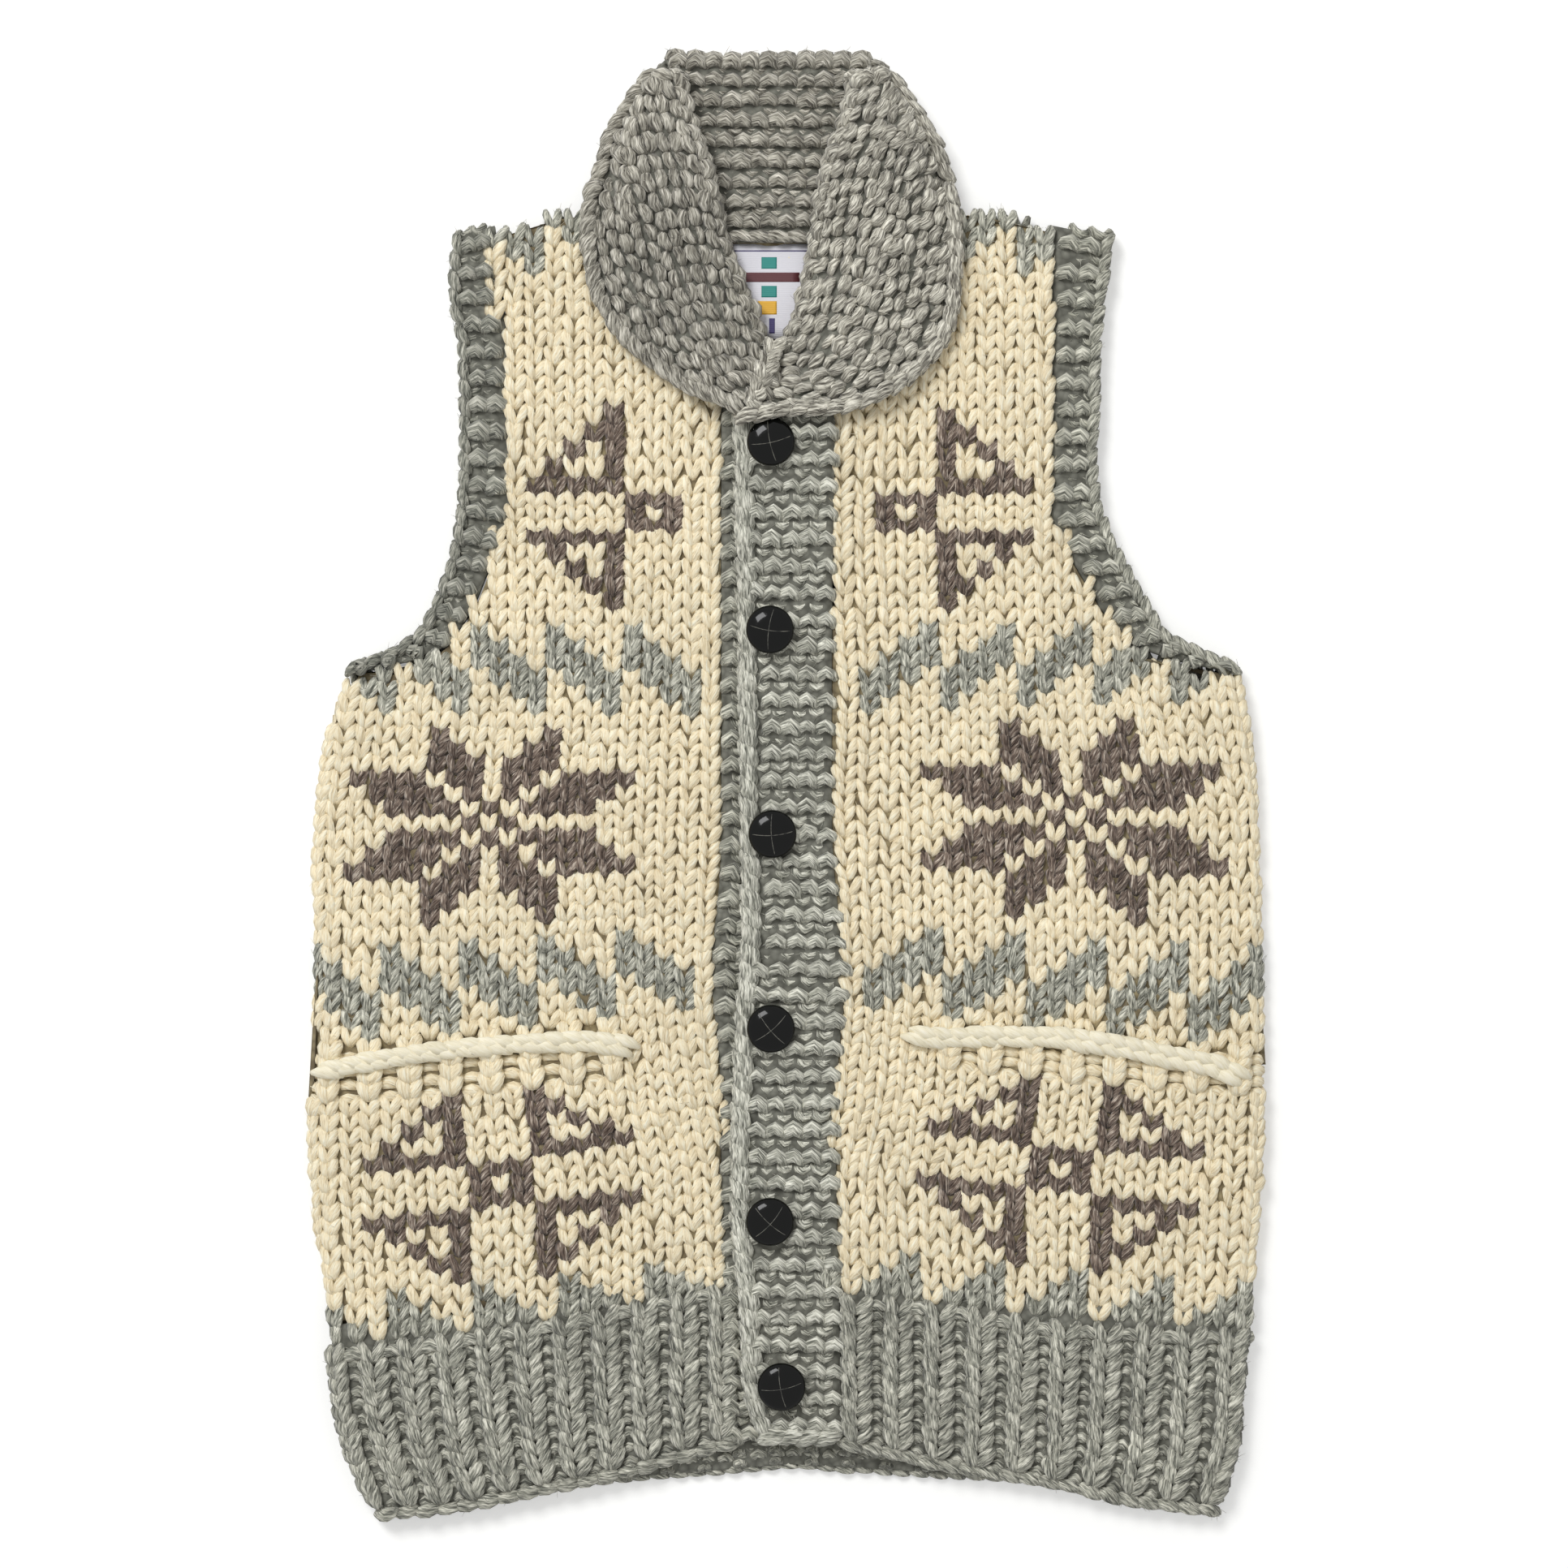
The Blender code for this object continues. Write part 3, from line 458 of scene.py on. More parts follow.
# %% [markdown]
# ## Wool
#
# The yarn is hand-spun, undyed sheep's wool: combed into a soft strip, twisted once and never dyed.  The
# grey and the brown are heathered, light and dark hairs spun together, and the cream is nearly even.  Its
# hairs are about 0.03 mm thick, too fine to draw, so they are drawn as streaks in two sizes that follow the
# yarn and wind round it as the twist does.  Wool is matt with a faint bright rim from loose hairs, which is
# what sheen gives.

# %% Helpers for colours and nodes
def linear(hex_colour):
    """An sRGB hex colour as linear red, green, blue and alpha."""
    parts = [int(hex_colour[i:i + 2], 16) / 255 for i in (0, 2, 4)]
    return [p / 12.92 if p <= 0.04045 else ((p + 0.055) / 1.055) ** 2.4 for p in parts] + [1.0]


def add_node(tree, kind, inputs=(), stops=(), **settings):
    """Adds a node with its settings, and with (position, hex colour) stops if it is a colour ramp.

    An input is a value, or another node's output to link to it."""
    made = tree.nodes.new(kind)
    for name, value in settings.items():
        setattr(made, name, value)
    for name, value in dict(inputs).items():
        if isinstance(value, bpy.types.NodeSocket):
            tree.links.new(value, made.inputs[name])
        else:
            made.inputs[name].default_value = value
    if stops:
        elements = made.color_ramp.elements
        while len(elements) < len(stops):
            elements.new(0.5)
        for element, (position, colour) in zip(elements, stops):
            element.position = position
            element.color = linear(colour)
    return made


def new_material(name, roughness):
    """A material, its node tree and its Principled shader."""
    material = bpy.data.materials.new(name)
    material.use_nodes = True
    tree = material.node_tree
    shader = tree.nodes["Principled BSDF"]
    shader.inputs["Roughness"].default_value = roughness
    return material, tree, shader


# %% The wool's material
HAIR_WIDE, HAIR_LONG = 0.7, 4.5       # fine streaks of hair, coarser than real ones so that they show
LOCK_WIDE, LOCK_LONG = 1.8, 7.0       # locks of hair that were combed together
TWIST = 0.45                          # how far the hairs go round the yarn for each millimetre along it
SKEIN_PATCH = 55.0                    # how far one tone of the skein goes on


def spun_strand(tree):
    """Coordinates that wind round the yarn as its twist does, and the number drawn for each stitch."""
    strand = add_node(tree, "ShaderNodeAttribute", attribute_name="fibre").outputs["Vector"]
    around, along, stitch = add_node(tree, "ShaderNodeSeparateXYZ", {"Vector": strand}).outputs
    wound = add_node(tree, "ShaderNodeMath", {0: along, 1: TWIST, 2: around}, operation="MULTIPLY_ADD")
    spun = add_node(tree, "ShaderNodeCombineXYZ", {"X": wound.outputs["Value"], "Y": along, "Z": stitch})
    return spun.outputs["Vector"], stitch


def streaks(tree, spun, wide, long):
    """Streaks of hair along the yarn, in one size."""
    scaled = add_node(tree, "ShaderNodeVectorMath", {0: spun, 1: (1 / wide, 1 / long, 1.0)},
                      operation="MULTIPLY").outputs[0]
    inputs = {"Vector": scaled, "Scale": 1.0, "Detail": 2.0, "Roughness": 0.6}
    return add_node(tree, "ShaderNodeTexNoise", inputs).outputs["Fac"]


def wool(name, stops, patchy, odd, sheen, relief_mm):
    """Hand-spun wool: hairs along the yarn, a tone for each stitch and a slow change along the skein."""
    material, tree, shader = new_material(name, roughness=0.92)
    spun, stitch = spun_strand(tree)
    fine, locks = streaks(tree, spun, HAIR_WIDE, HAIR_LONG), streaks(tree, spun, LOCK_WIDE, LOCK_LONG)
    hairs = add_node(tree, "ShaderNodeMath", {0: fine, 1: locks}, operation="ADD").outputs["Value"]
    hairs = add_node(tree, "ShaderNodeMath", {0: hairs, 1: 0.5}, operation="MULTIPLY").outputs["Value"]
    yarn = add_node(tree, "ShaderNodeValToRGB", {"Fac": hairs}, stops).outputs["Color"]
    each = add_node(tree, "ShaderNodeTexWhiteNoise", {"W": stitch}, noise_dimensions="1D").outputs["Value"]
    place = add_node(tree, "ShaderNodeTexCoord").outputs["Object"]
    patches = {"Vector": place, "Scale": 1 / (SKEIN_PATCH * MM), "Detail": 2.0}
    skein = add_node(tree, "ShaderNodeTexNoise", patches).outputs["Fac"]
    tone = add_node(tree, "ShaderNodeMapRange", {"Value": each, "To Min": 1 - odd, "To Max": 1 + odd})
    slow = add_node(tree, "ShaderNodeMapRange", {"Value": skein, "From Min": 0.3, "From Max": 0.7,
                                                 "To Min": 1 - patchy, "To Max": 1 + patchy})
    both = add_node(tree, "ShaderNodeMath", {0: tone.outputs["Result"], 1: slow.outputs["Result"]},
                    operation="MULTIPLY").outputs["Value"]
    mixed = add_node(tree, "ShaderNodeVectorMath", {0: yarn, "Scale": both}, operation="SCALE")
    tree.links.new(mixed.outputs[0], shader.inputs["Base Color"])
    bump = add_node(tree, "ShaderNodeBump", {"Height": hairs, "Distance": relief_mm * MM, "Strength": 1.0})
    tree.links.new(bump.outputs["Normal"], shader.inputs["Normal"])
    shader.inputs["Sheen Weight"].default_value = sheen
    shader.inputs["Sheen Roughness"].default_value = 0.5
    shader.inputs["Specular IOR Level"].default_value = 0.2
    return material


# %% The yarns
CREAM = wool("undyed_cream_wool", [(0.37, "DDCCA8"), (0.5, "F8EAC9"), (0.63, "FFFAE3")],
             patchy=0.04, odd=0.05, sheen=0.15, relief_mm=1.4)
BROWN = wool("heathered_brown_wool",
             [(0.38, "352922"), (0.475, "695A50"), (0.54, "8D7D70"), (0.65, "DDD0C0")],
             patchy=0.08, odd=0.12, sheen=0.25, relief_mm=2.0)


def heather(name, shade, body, light, hair):
    """One lot of grey fleece, from the shade of its strands to its palest hairs."""
    return wool(name, [(0.38, shade), (0.475, body), (0.53, light), (0.63, hair)],
                patchy=0.08, odd=0.12, sheen=0.25, relief_mm=2.0)


# Lots of hand-spun grey are never quite alike, so the parts of the vest differ a little.
GREY = heather("heathered_grey_wool", "54554C", "9D9D90", "C1C0B1", "F6F4E4")
HEM_GREY = heather("hem_grey_wool", "50514A", "97978B", "BAB9AB", "EDEBDC")
BAND_GREY = heather("lighter_grey_wool", "5C5D54", "ADADA0", "D0CFC1", "FFFEF0")
# The right armhole band's darker grey is partly another lot of wool and partly painted shade.
ARMHOLE_GREY = {"right": heather("darker_grey_wool_and_painted_shade", "494A43", "898A7F", "AAA99C", "D8D6C9"), "left": GREY}
COLLAR_GREY = {"right": heather("warm_grey_wool", "4D4942", "938F83", "B8B4A7", "EAE5D8"),
               "left": heather("light_warm_grey_wool", "555149", "A19D91", "CAC6B8", "FFFBEC")}


# %% The base between the stitches
LOOP_WIDE = 4.0       # size of the loops' backs, one for each half stitch


def ground(name, dark, light):
    """The knitting's base, seen only between stitches: the same wool in painted shade."""
    material, tree, shader = new_material(name, roughness=0.95)
    place = add_node(tree, "ShaderNodeTexCoord").outputs["Object"]
    loops = add_node(tree, "ShaderNodeTexVoronoi", {"Vector": place, "Scale": 1 / (LOOP_WIDE * MM)})
    loops = loops.outputs["Distance"]
    painted_shades = add_node(tree, "ShaderNodeValToRGB", {"Fac": loops}, [(0.1, light), (0.8, dark)])
    tree.links.new(painted_shades.outputs["Color"], shader.inputs["Base Color"])
    bump = add_node(tree, "ShaderNodeBump", {"Height": loops, "Distance": 1.0 * MM, "Strength": 0.6},
                    invert=True)
    tree.links.new(bump.outputs["Normal"], shader.inputs["Normal"])
    return material


# Far darker than their yarns and darkest between loops: painted shade for the hollows between stitches.
CREAM_SHADED_GROUND = ground("cream_wool_painted_shade_between_stitches", "6F634C", "A29574")
GREY_SHADED_GROUND = ground("grey_wool_painted_shade_between_stitches", "5C5C54", "86867C")

# %% [markdown]
# ## Thin cloth under the stitches
#
# Under the loops that show, knitting is closed by the backs of the same loops.  Here a thin closed layer
# does that: it keeps light from shining through and it gives the cloth its real area.

# %% Thin layers of cloth
GROUND_THICK = 2.5    # thickness of the layer under the stitches
BURIED = 2.6          # how far it lies under the face of the solid
UP = np.array([0.0, 0.0, 1.0])
DOWN = -UP


def layer(name, grid, way_in, thick, material):
    """A closed thin layer from a grid of points and the way into the cloth, for all or for each."""
    rows, columns, _ = grid.shape
    points = np.concatenate([grid.reshape(-1, 3), (grid + way_in * thick).reshape(-1, 3)])
    index = np.arange(rows * columns).reshape(rows, columns)
    faces = np.stack([index[:-1, :-1], index[:-1, 1:], index[1:, 1:], index[1:, :-1]], axis=-1).reshape(-1, 4)
    under = faces[:, ::-1] + rows * columns
    rim = np.concatenate([index[0, :], index[1:, -1], index[-1, -2::-1], index[-2:0:-1, 0]])
    after = np.roll(rim, -1)
    sides = np.stack([after, rim, rim + rows * columns, after + rows * columns], axis=-1)
    made = mesh_piece(name, points, np.concatenate([faces, under, sides]).tolist(), material)
    made.data.validate()
    return made


def facing(grid, towards):
    """Unit normals of a grid of points, on the side of a given direction."""
    normals = unit(np.cross(np.gradient(grid, axis=1), np.gradient(grid, axis=0)))
    return normals * (np.sign(np.sign(normals @ towards).sum()) or 1.0)


# %% [markdown]
# ## The fronts: rows, columns and the colourwork chart
#
# Hand knitting is never square.  Rows slope down towards the side near the hem and level out at the chest,
# and the plain columns beside the button band are wider than those drawn in by the colourwork.  A short
# table of guide rows and column widths holds that.
#
# The colourwork is charted by rule, as a knitter would read it aloud.  The star is eight steep leaves about
# a centre, the bird is a square body with two open wings, and the zigzags step one row with each column.

# %% Guide rows, column widths and the chart
# Heights of a few rows beside the band and at the side fold.
Guide = namedtuple("Guide", "row band_right side_right band_left side_left")
GUIDES = [
    Guide(0, -269.0, -303.0, -273.0, -294.0),
    Guide(4, -246.5, -267.0, -241.0, -260.0),
    Guide(8, -213.4, -236.5, -204.0, -229.0),
    Guide(12, -180.4, -206.4, -176.0, -198.0),
    Guide(17, -147.5, -165.5, -140.0, -161.0),
    Guide(21, -115.7, -137.0, -115.0, -138.0),
    Guide(34, -23.0, -25.0, -19.5, -22.0),
    Guide(42, 34.6, 38.0, 37.0, 43.0),
    Guide(49, 91.0, 91.0, 91.0, 91.5),
    Guide(53, 125.0, 125.5, 125.0, 125.5),
    Guide(57, 151.5, 152.0, 151.0, 151.5),
    Guide(62, 198.4, 197.0, 196.0, 195.0),
    Guide(76, 308.0, 304.0, 308.0, 304.0),
]
ROWS = GUIDES[-1].row
FRONT_WIDE = 215.0      # from the band to the side fold

# Widths of the plain columns by the band and of the others, at heights up the vest.  Near the hem the
# first column slips under the band, by the hidden amount.
Gauge = namedtuple("Gauge", "y plain_right worked_right hidden_right plain_left worked_left hidden_left")
GAUGES = [
    Gauge(-290.0, 10.4, 11.2, 13.5, 10.6, 10.8, 10.0),
    Gauge(-208.0, 10.0, 11.3, 10.1, 10.0, 11.4, 9.6),
    Gauge(-165.0, 10.0, 10.8, 2.0, 10.2, 11.0, 1.0),
    Gauge(-120.0, 10.0, 10.3, -4.0, 10.4, 10.7, -3.8),
    Gauge(-85.0, 10.3, 10.2, -4.0, 10.7, 10.7, -3.8),
    Gauge(-15.0, 11.4, 10.05, 0.0, 11.6, 10.7, -0.5),
    Gauge(45.0, 10.5, 9.85, 0.0, 10.9, 10.05, -2.8),
    Gauge(142.0, 9.9, 10.4, 0.0, 11.3, 10.15, 1.8),
    Gauge(300.0, 10.3, 10.3, 0.0, 11.3, 10.2, 2.0),
]
PLAIN_COLUMNS = 4       # beside the band
COLUMNS = 24
COLUMN_WIDE = 10.4      # a first guess at a column's width, to find its height


# %% From columns and rows to places on a front
def column_of(table, name):
    """One named column of a table as numbers."""
    return np.array([getattr(row, name) for row in table], float)


def read_table(table, at, name):
    """A named column of a table, between its rows, whose places are in the first column."""
    return np.interp(at, column_of(table, table[0]._fields[0]), column_of(table, name))


def row_height(side, reach, row):
    """Height of a row of knitting, at a reach over the cloth from the band."""
    part = reach / FRONT_WIDE
    part = part * (1.5 - 0.5 * part)
    band, edge = (read_table(GUIDES, row, f"{end}_{side}") for end in ("band", "side"))
    return band + (edge - band) * part


def column_reach(side, column, y):
    """Reach over the cloth of a column's edge, from the band."""
    plain, worked, hidden = (read_table(GAUGES, y, f"{kind}_{side}")
                             for kind in ("plain", "worked", "hidden"))
    reach = plain * np.minimum(column, PLAIN_COLUMNS) + worked * np.maximum(column - PLAIN_COLUMNS, 0)
    return reach - hidden


def front_stitch(side, column, row):
    """Reach and height of a place in the knitting, given in columns and rows."""
    y = row_height(side, column * COLUMN_WIDE, row)
    reach = column_reach(side, column, y)
    return reach, row_height(side, reach, row)


# %% The colourwork chart
STAR_COLUMN, STAR_ROW = 11, 34
BIRD_COLUMN, BIRD_ROW = 11, 10
HALF_BIRD_COLUMN, HALF_BIRD_ROW = 3, 55
WAIST_ROW, CHEST_ROW, SHOULDER_ROW = 21, 42, 71
POCKET_ROWS = (17, 20)          # the ribbing under a pocket's edge
POCKET_COLUMNS = (5, 20)


def star(a, b):
    """An eight-leaved star about its centre, 15 stitches wide and 13 rows high."""
    def leaf(near, far):
        return far - 4 <= near <= min(3, far - 1) and near >= 1
    return leaf(b, a) or leaf(a, b + (b > 3)) or (a, b) in {(0, 1), (1, 0)}


def bird(a, b, reach):
    """A bird seen from above: a square body, with an outlined wing and tail on each side."""
    body = max(a, b) == 1
    bar = a == 2 and 2 <= b <= 6
    base = b == 2 and 2 <= a <= reach
    slope = a + b == 8 and 2 <= a <= 5
    return body or bar or base or slope


def zigzag(column, row, first):
    """A band of steps that climbs one row a column, four columns to a step."""
    step = (column - 1) % 4
    return column >= 1 and first + step <= row <= first + step + 2


def front_yarn(column, row):
    """The yarn of a stitch on a front: cream, grey or brown."""
    if row <= (column - 1) % 4 or zigzag(column, row, WAIST_ROW) or zigzag(column, row, CHEST_ROW):
        return "grey"
    if zigzag(column, row, SHOULDER_ROW) or row > SHOULDER_ROW + 3:
        return "grey"
    i, j = column - STAR_COLUMN, row - STAR_ROW
    if max(abs(i), abs(j)) <= 7 and star(abs(i), abs(j)):
        return "brown"
    i, j = column - BIRD_COLUMN, row - BIRD_ROW
    if bird(abs(i), abs(j), 6):
        return "brown"
    i, j = column - HALF_BIRD_COLUMN, row - HALF_BIRD_ROW
    if max(abs(i), abs(j)) <= 1 and (i, j) != (0, 0):
        return "brown"
    if i >= 2 and bird(i, abs(j), 6):
        return "brown"
    return "cream"


print("rows to the shoulder:", ROWS, " columns charted:", COLUMNS)

# %% [markdown]
# ## Knitting the fronts
#
# Every stitch of the chart is placed, measured for its own width and height, and kept only where the front
# has cloth: it stops at the neckline and the armhole, and goes on round the side fold.  The stitches are
# then shared out between three skeins, so each yarn is a piece of its own.

# %% Where a front's stitches lie
YARN_SINK = 2.3         # the middle of the yarn lies this far below the face of the solid
HEM_DIP = 2.6           # how far the ribbing draws in the rows above it
DIP_ROWS = 1.8          # and how many rows that reaches
HEM_TUCK = -252.0       # under this height the fronts reach in under the upper band's free edge
ROW_HIGH = 7.0          # height of a row


def places_from(points_at, columns, rows, way):
    """Places for stitches, from a function that gives a point for columns and rows."""
    across = points_at(columns + 0.5, rows) - points_at(columns - 0.5, rows)
    along = points_at(columns, rows + 0.5) - points_at(columns, rows - 0.5)
    return Places(points_at(columns, rows), across, along, unit(np.cross(across, along)) * way)


def every(columns, rows):
    """Each column with each row, as two long lists."""
    return [pairs.ravel() for pairs in np.meshgrid(columns, rows, indexing="ij")]


def front_places(side):
    """Every stitch of a front: its column, its row and its place."""
    column, row = every(np.arange(COLUMNS), np.arange(ROWS))
    reach, y = front_stitch(side, column + 0.5, row + 0.5)
    start, neck, outer = front_edges(side, y)
    wide = np.abs(outer - start)
    inside = reach < np.where(y < UNDERARM, wide - FOLD + FOLD * 1.45, wide + 1.5)
    inside &= reach > np.abs(neck - start) - np.where(y < HEM_TUCK, 9.0, 1.0)
    inside &= y < high_at(SHOULDERS[side], start + SIDES[side] * reach) - 2.0
    later = np.abs(front_edges(side, y + ROW_HIGH)[2] - start)
    inside &= (reach < later + 11.0) | (y + ROW_HIGH < UNDERARM)
    column, row = column[inside], row[inside]

    def at(columns, rows):
        reach, y = front_stitch(side, columns, rows)
        drawn_in = HEM_DIP * np.clip(1 - rows / DIP_ROWS, 0, 1)
        return front_point(side, reach, y, sink=drawn_in + YARN_SINK)

    return column, row, places_from(at, column + 0.5, row.astype(float), SIDES[side])


# %% Knit the fronts
WOOLS = {"cream": CREAM, "grey": GREY, "brown": BROWN}
PIECE_NAMES = {"cream": "pale", "grey": "grey", "brown": "brown"}
FRAY_GREY = 2.2         # loose hairs for each length of yarn
FRAY_FRONT = {"cream": 0.6, "grey": FRAY_GREY, "brown": FRAY_GREY}


def knit_front(side):
    """A front's stitches as one piece for each yarn."""
    column, row, places = front_places(side)
    yarn = np.array([front_yarn(c, r) for c, r in zip(column, row)])
    ribbed = (column >= POCKET_COLUMNS[0]) & (column <= POCKET_COLUMNS[1])
    ribbed &= (row >= POCKET_ROWS[0]) & (row <= POCKET_ROWS[1])
    purl = ribbed & (column % 2 == 0)
    pieces = []
    for name, material in WOOLS.items():
        skein = Skein()
        mine = yarn == name
        lay_knit(skein, chosen(places, mine & ~ribbed), stray=1.5)
        lay_knit(skein, chosen(places, mine & ribbed & ~purl), plump=1.38, lift=2.2)
        bars = places._replace(along=places.along * 0.5)
        lay_stitches(skein, chosen(bars, mine & purl), ARCH, plump=1.15, lift=-1.3)
        fray(skein, FRAY_FRONT[name])
        pieces.append(skein.piece(f"front_{side}_{PIECE_NAMES[name]}_stitches", material))
    return pieces


# %% The cloth under them
ROUND_FOLD = math.pi / 2 - 1      # how much longer a quarter turn is than its radius


def front_ground(side):
    """The thin layer of cloth under a front's stitches."""
    across = np.linspace(0, 1, 40)
    grid = []
    for row in np.concatenate([[2.4], np.arange(3, ROWS + 0.1, 1.0)]):
        reach = np.zeros_like(across)
        for _ in range(4):        # the row's height and its reach depend on each other
            y = row_height(side, reach, row)
            start, neck, outer = front_edges(side, y)
            neck, wide = np.abs(neck - start), np.abs(outer - start)
            wide = np.where(y < UNDERARM, wide + FOLD * ROUND_FOLD, wide - 4.0)
            reach = neck + (wide - neck) * across
        under = high_at(SHOULDERS[side], start + SIDES[side] * reach) - 5.0 + 0.05 * (row - ROWS)
        grid.append(front_point(side, reach, np.minimum(y, under), sink=BURIED))
    grid = np.array(grid)
    made = layer(f"front_{side}_cloth", grid, -facing(grid, UP), GROUND_THICK, CREAM_SHADED_GROUND)
    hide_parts(f"front_{side}_panel")
    return made


for side in SIDES:
    stitches = knit_front(side)
    cloth = front_ground(side)
    low, high = box_mm(f"front_{side}_panel")

# %% [markdown]
# ## Garter stitch, edges and lines of grains
#
# The bands and the collar are garter stitch: every row is a ridge of small loops, with the feet of the
# next row's loops half hidden in the hollow between two ridges.  Edges are finished with a chain, a line
# of long slanting grains.  Both are laid on any surface that is given as a function of columns and rows.

# %% Garter stitch
def lay_garter(skein, point, columns, rows, way=1, plump=1.0, sunk=2.6, bow=7.0, keep=None,
               corners=SIDES_SEEN):
    """Ridges of loops at whole rows of a surface, and the sunk feet of the next row between them."""
    column, row = every(columns, rows)
    for shape, shift, turn, deep, size in ((RIDGE_LOOP, 0.5, 1, 0.3, plump), (FOOT, 1.0, -1, -sunk, 0.95)):
        places = places_from(point, column + shift, row + shift, way)
        places = places._replace(along=unit(places.along) * bow * turn)
        if keep is not None:
            places = chosen(places, keep(places.at))
        lay_stitches(skein, places, shape, plump=size, lift=deep, stray=1.6, corners=corners)


# %% Chains of grains along a line
MOST_PLACES = 400     # more than any line here has on one side of its anchor
GRAIN_HIGH = 7.0      # height of a place on a line


def resampled(points, reach, at):
    """Points of a line at given distances along it."""
    return np.stack([np.interp(at, reach, points[:, k]) for k in range(points.shape[1])], axis=-1)


def along_line(points, out, pitch, stretch=1.0, phase=0.5, anchor=0.0):
    """Places at even distances along a line of points, with the way out at each point of the line.

    With an anchor, they are counted from that part of the line and the pitch is kept as it is."""
    points = np.asarray(points, float)
    out = np.broadcast_to(np.asarray(out, float), points.shape)
    steps = np.linalg.norm(np.diff(points, axis=0), axis=1)
    reach = np.concatenate([[0.0], np.cumsum(steps)])
    if anchor == 0.0:
        pitch = reach[-1] / max(int(round(reach[-1] / pitch)), 1)
    middle = (np.arange(-MOST_PLACES, MOST_PLACES) + phase) * pitch + anchor * reach[-1]
    middle = middle[(middle > 0) & (middle < reach[-1])]
    across = resampled(points, reach, middle + pitch / 2) - resampled(points, reach, middle - pitch / 2)
    across = unit(across) * pitch * stretch
    outs = unit(resampled(out, reach, middle))
    along = unit(np.cross(outs, across)) * GRAIN_HIGH
    return Places(resampled(points, reach, middle), across, along, outs)


def lay_chain(skein, points, out, pitch, stretch, lean, plump=1.0):
    """A line of slanting grains, as along an edge or a seam."""
    lay_stitches(skein, along_line(points, out, pitch, stretch=stretch), GRAIN, plump=plump, lean=lean)


# %% [markdown]
# ## Ribbed hems
#
# The hems are ribbing: a column of plump stocking stitches, then a sunk column of purl bars, over and over.
# The plump ribs crowd together and the bars between them lie in shade, which is why ribbing stretches.
# It is cast on with a chain along the hem.

# %% Where the front ribs lie
RIB_SHARE = 0.72        # how much of a rib and its valley the plump rib takes
RIB_ROWS = 11

# Top of the ribs and the hem, from the button band (0) to the side (1).
RibLine = namedtuple("RibLine", "part top_right top_left hem_right hem_left")
RIB_LINES = [
    RibLine(0.00, -269.0, -273.0, -347.0, -345.0),
    RibLine(0.25, -280.0, -279.0, -361.0, -358.0),
    RibLine(0.50, -290.5, -288.5, -371.0, -366.0),
    RibLine(0.75, -298.0, -292.5, -380.0, -377.0),
    RibLine(1.00, -303.0, -294.0, -384.0, -383.0),
]


def rib_point(side, part, down, sink):
    """A point on a front rib, at a part of its width and a part of the way down."""
    top, hem = (read_table(RIB_LINES, part, f"{end}_{side}") for end in ("top", "hem"))
    y = top + (hem - top) * down
    start, _, outer = front_edges(side, y)
    return front_point(side, part * (np.abs(outer - start) + FOLD * ROUND_FOLD), y, sink=sink, top=RIB_TOP)


def rib_columns(number):
    """Places of columns across ribbing as parts of its width: plump ribs and narrow valleys."""
    edges = [0.0]
    while len(edges) <= number:
        share = RIB_SHARE if len(edges) % 2 else 1 - RIB_SHARE
        edges.append(edges[-1] + share)
    return np.array(edges) / edges[-1]


# %% Ribbing
def lay_ribbing(skein, point, number, way=1, shape=LEG, corners=SIDES_SEEN):
    """Ribbing over a surface given by point(part across, part down); its first column is a rib."""
    edges = rib_columns(number)

    def at(columns, ups):
        return point(np.interp(columns, np.arange(len(edges)), edges), 1 - ups / RIB_ROWS)

    column, row = every(np.arange(number), np.arange(RIB_ROWS))
    places = places_from(at, column + 0.5, row + 0.5, way)
    knit = column % 2 == 0
    lay_knit(skein, chosen(places, knit), shape, plump=1.42, lift=1.1, corners=corners)
    flat = places._replace(along=places.along * 0.6)
    lay_stitches(skein, chosen(flat, ~knit), ARCH, plump=1.1, lift=-1.5, corners=corners)
    valley = np.arange(1.0, number, 2.0)
    caps = places_from(at, valley + 0.5, np.full(len(valley), RIB_ROWS + 0.1), way)
    lay_stitches(skein, caps._replace(across=caps.across * 2.1), ARCH, plump=1.25, lift=0.7, corners=corners)


# %% Knit the front ribs
FRONT_RIBS = {"right": 21, "left": 20}      # columns, counted with the valleys
RIB_TUCK = {"right": 0.04, "left": 0.0}     # the right one's share that slips under the upper band


def knit_front_rib(side):
    """A front's ribbed hem: its stitches, its cast-on chain and the cloth beneath."""
    way, tuck = SIDES[side], RIB_TUCK[side]
    skein = Skein()

    def face(part, down):
        return rib_point(side, part, down, sink=YARN_SINK)

    lay_ribbing(skein, lambda part, down: face(part * (1 + tuck) - tuck, down - 0.03), FRONT_RIBS[side], way)
    parts = np.linspace(-tuck, 1, 60)
    edge = face(parts, np.full(60, 0.975)) - UP * 1.2
    lay_chain(skein, edge, UP, pitch=10.6, stretch=1.4, lean=7 * way, plump=1.35)
    under = face(parts, np.full(60, 0.978)) - UP * 4.6
    lay_chain(skein, under, UP, pitch=10.6, stretch=1.3, lean=-7 * way, plump=1.2)
    fray(skein, FRAY_GREY)
    stitches = skein.piece(f"front_{side}_hem_stitches", HEM_GREY)
    downs = np.linspace(-0.24, 0.965, 16)
    grid = np.array([rib_point(side, np.linspace(0, 1, 48), down, BURIED + 0.4) for down in downs])
    made = layer(f"front_{side}_hem_cloth", grid, -facing(grid, UP), GROUND_THICK, GREY_SHADED_GROUND)
    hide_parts(f"front_{side}_hem_rib")


for side in SIDES:
    knit_front_rib(side)

# %% [markdown]
# ## Button bands
#
# The bands are garter stitch knitted the short way, so their ridges run across.  The upper band laps over
# the lower one, of which only a shaded strip shows, and its free edge rolls into a soft fuzzy cord.

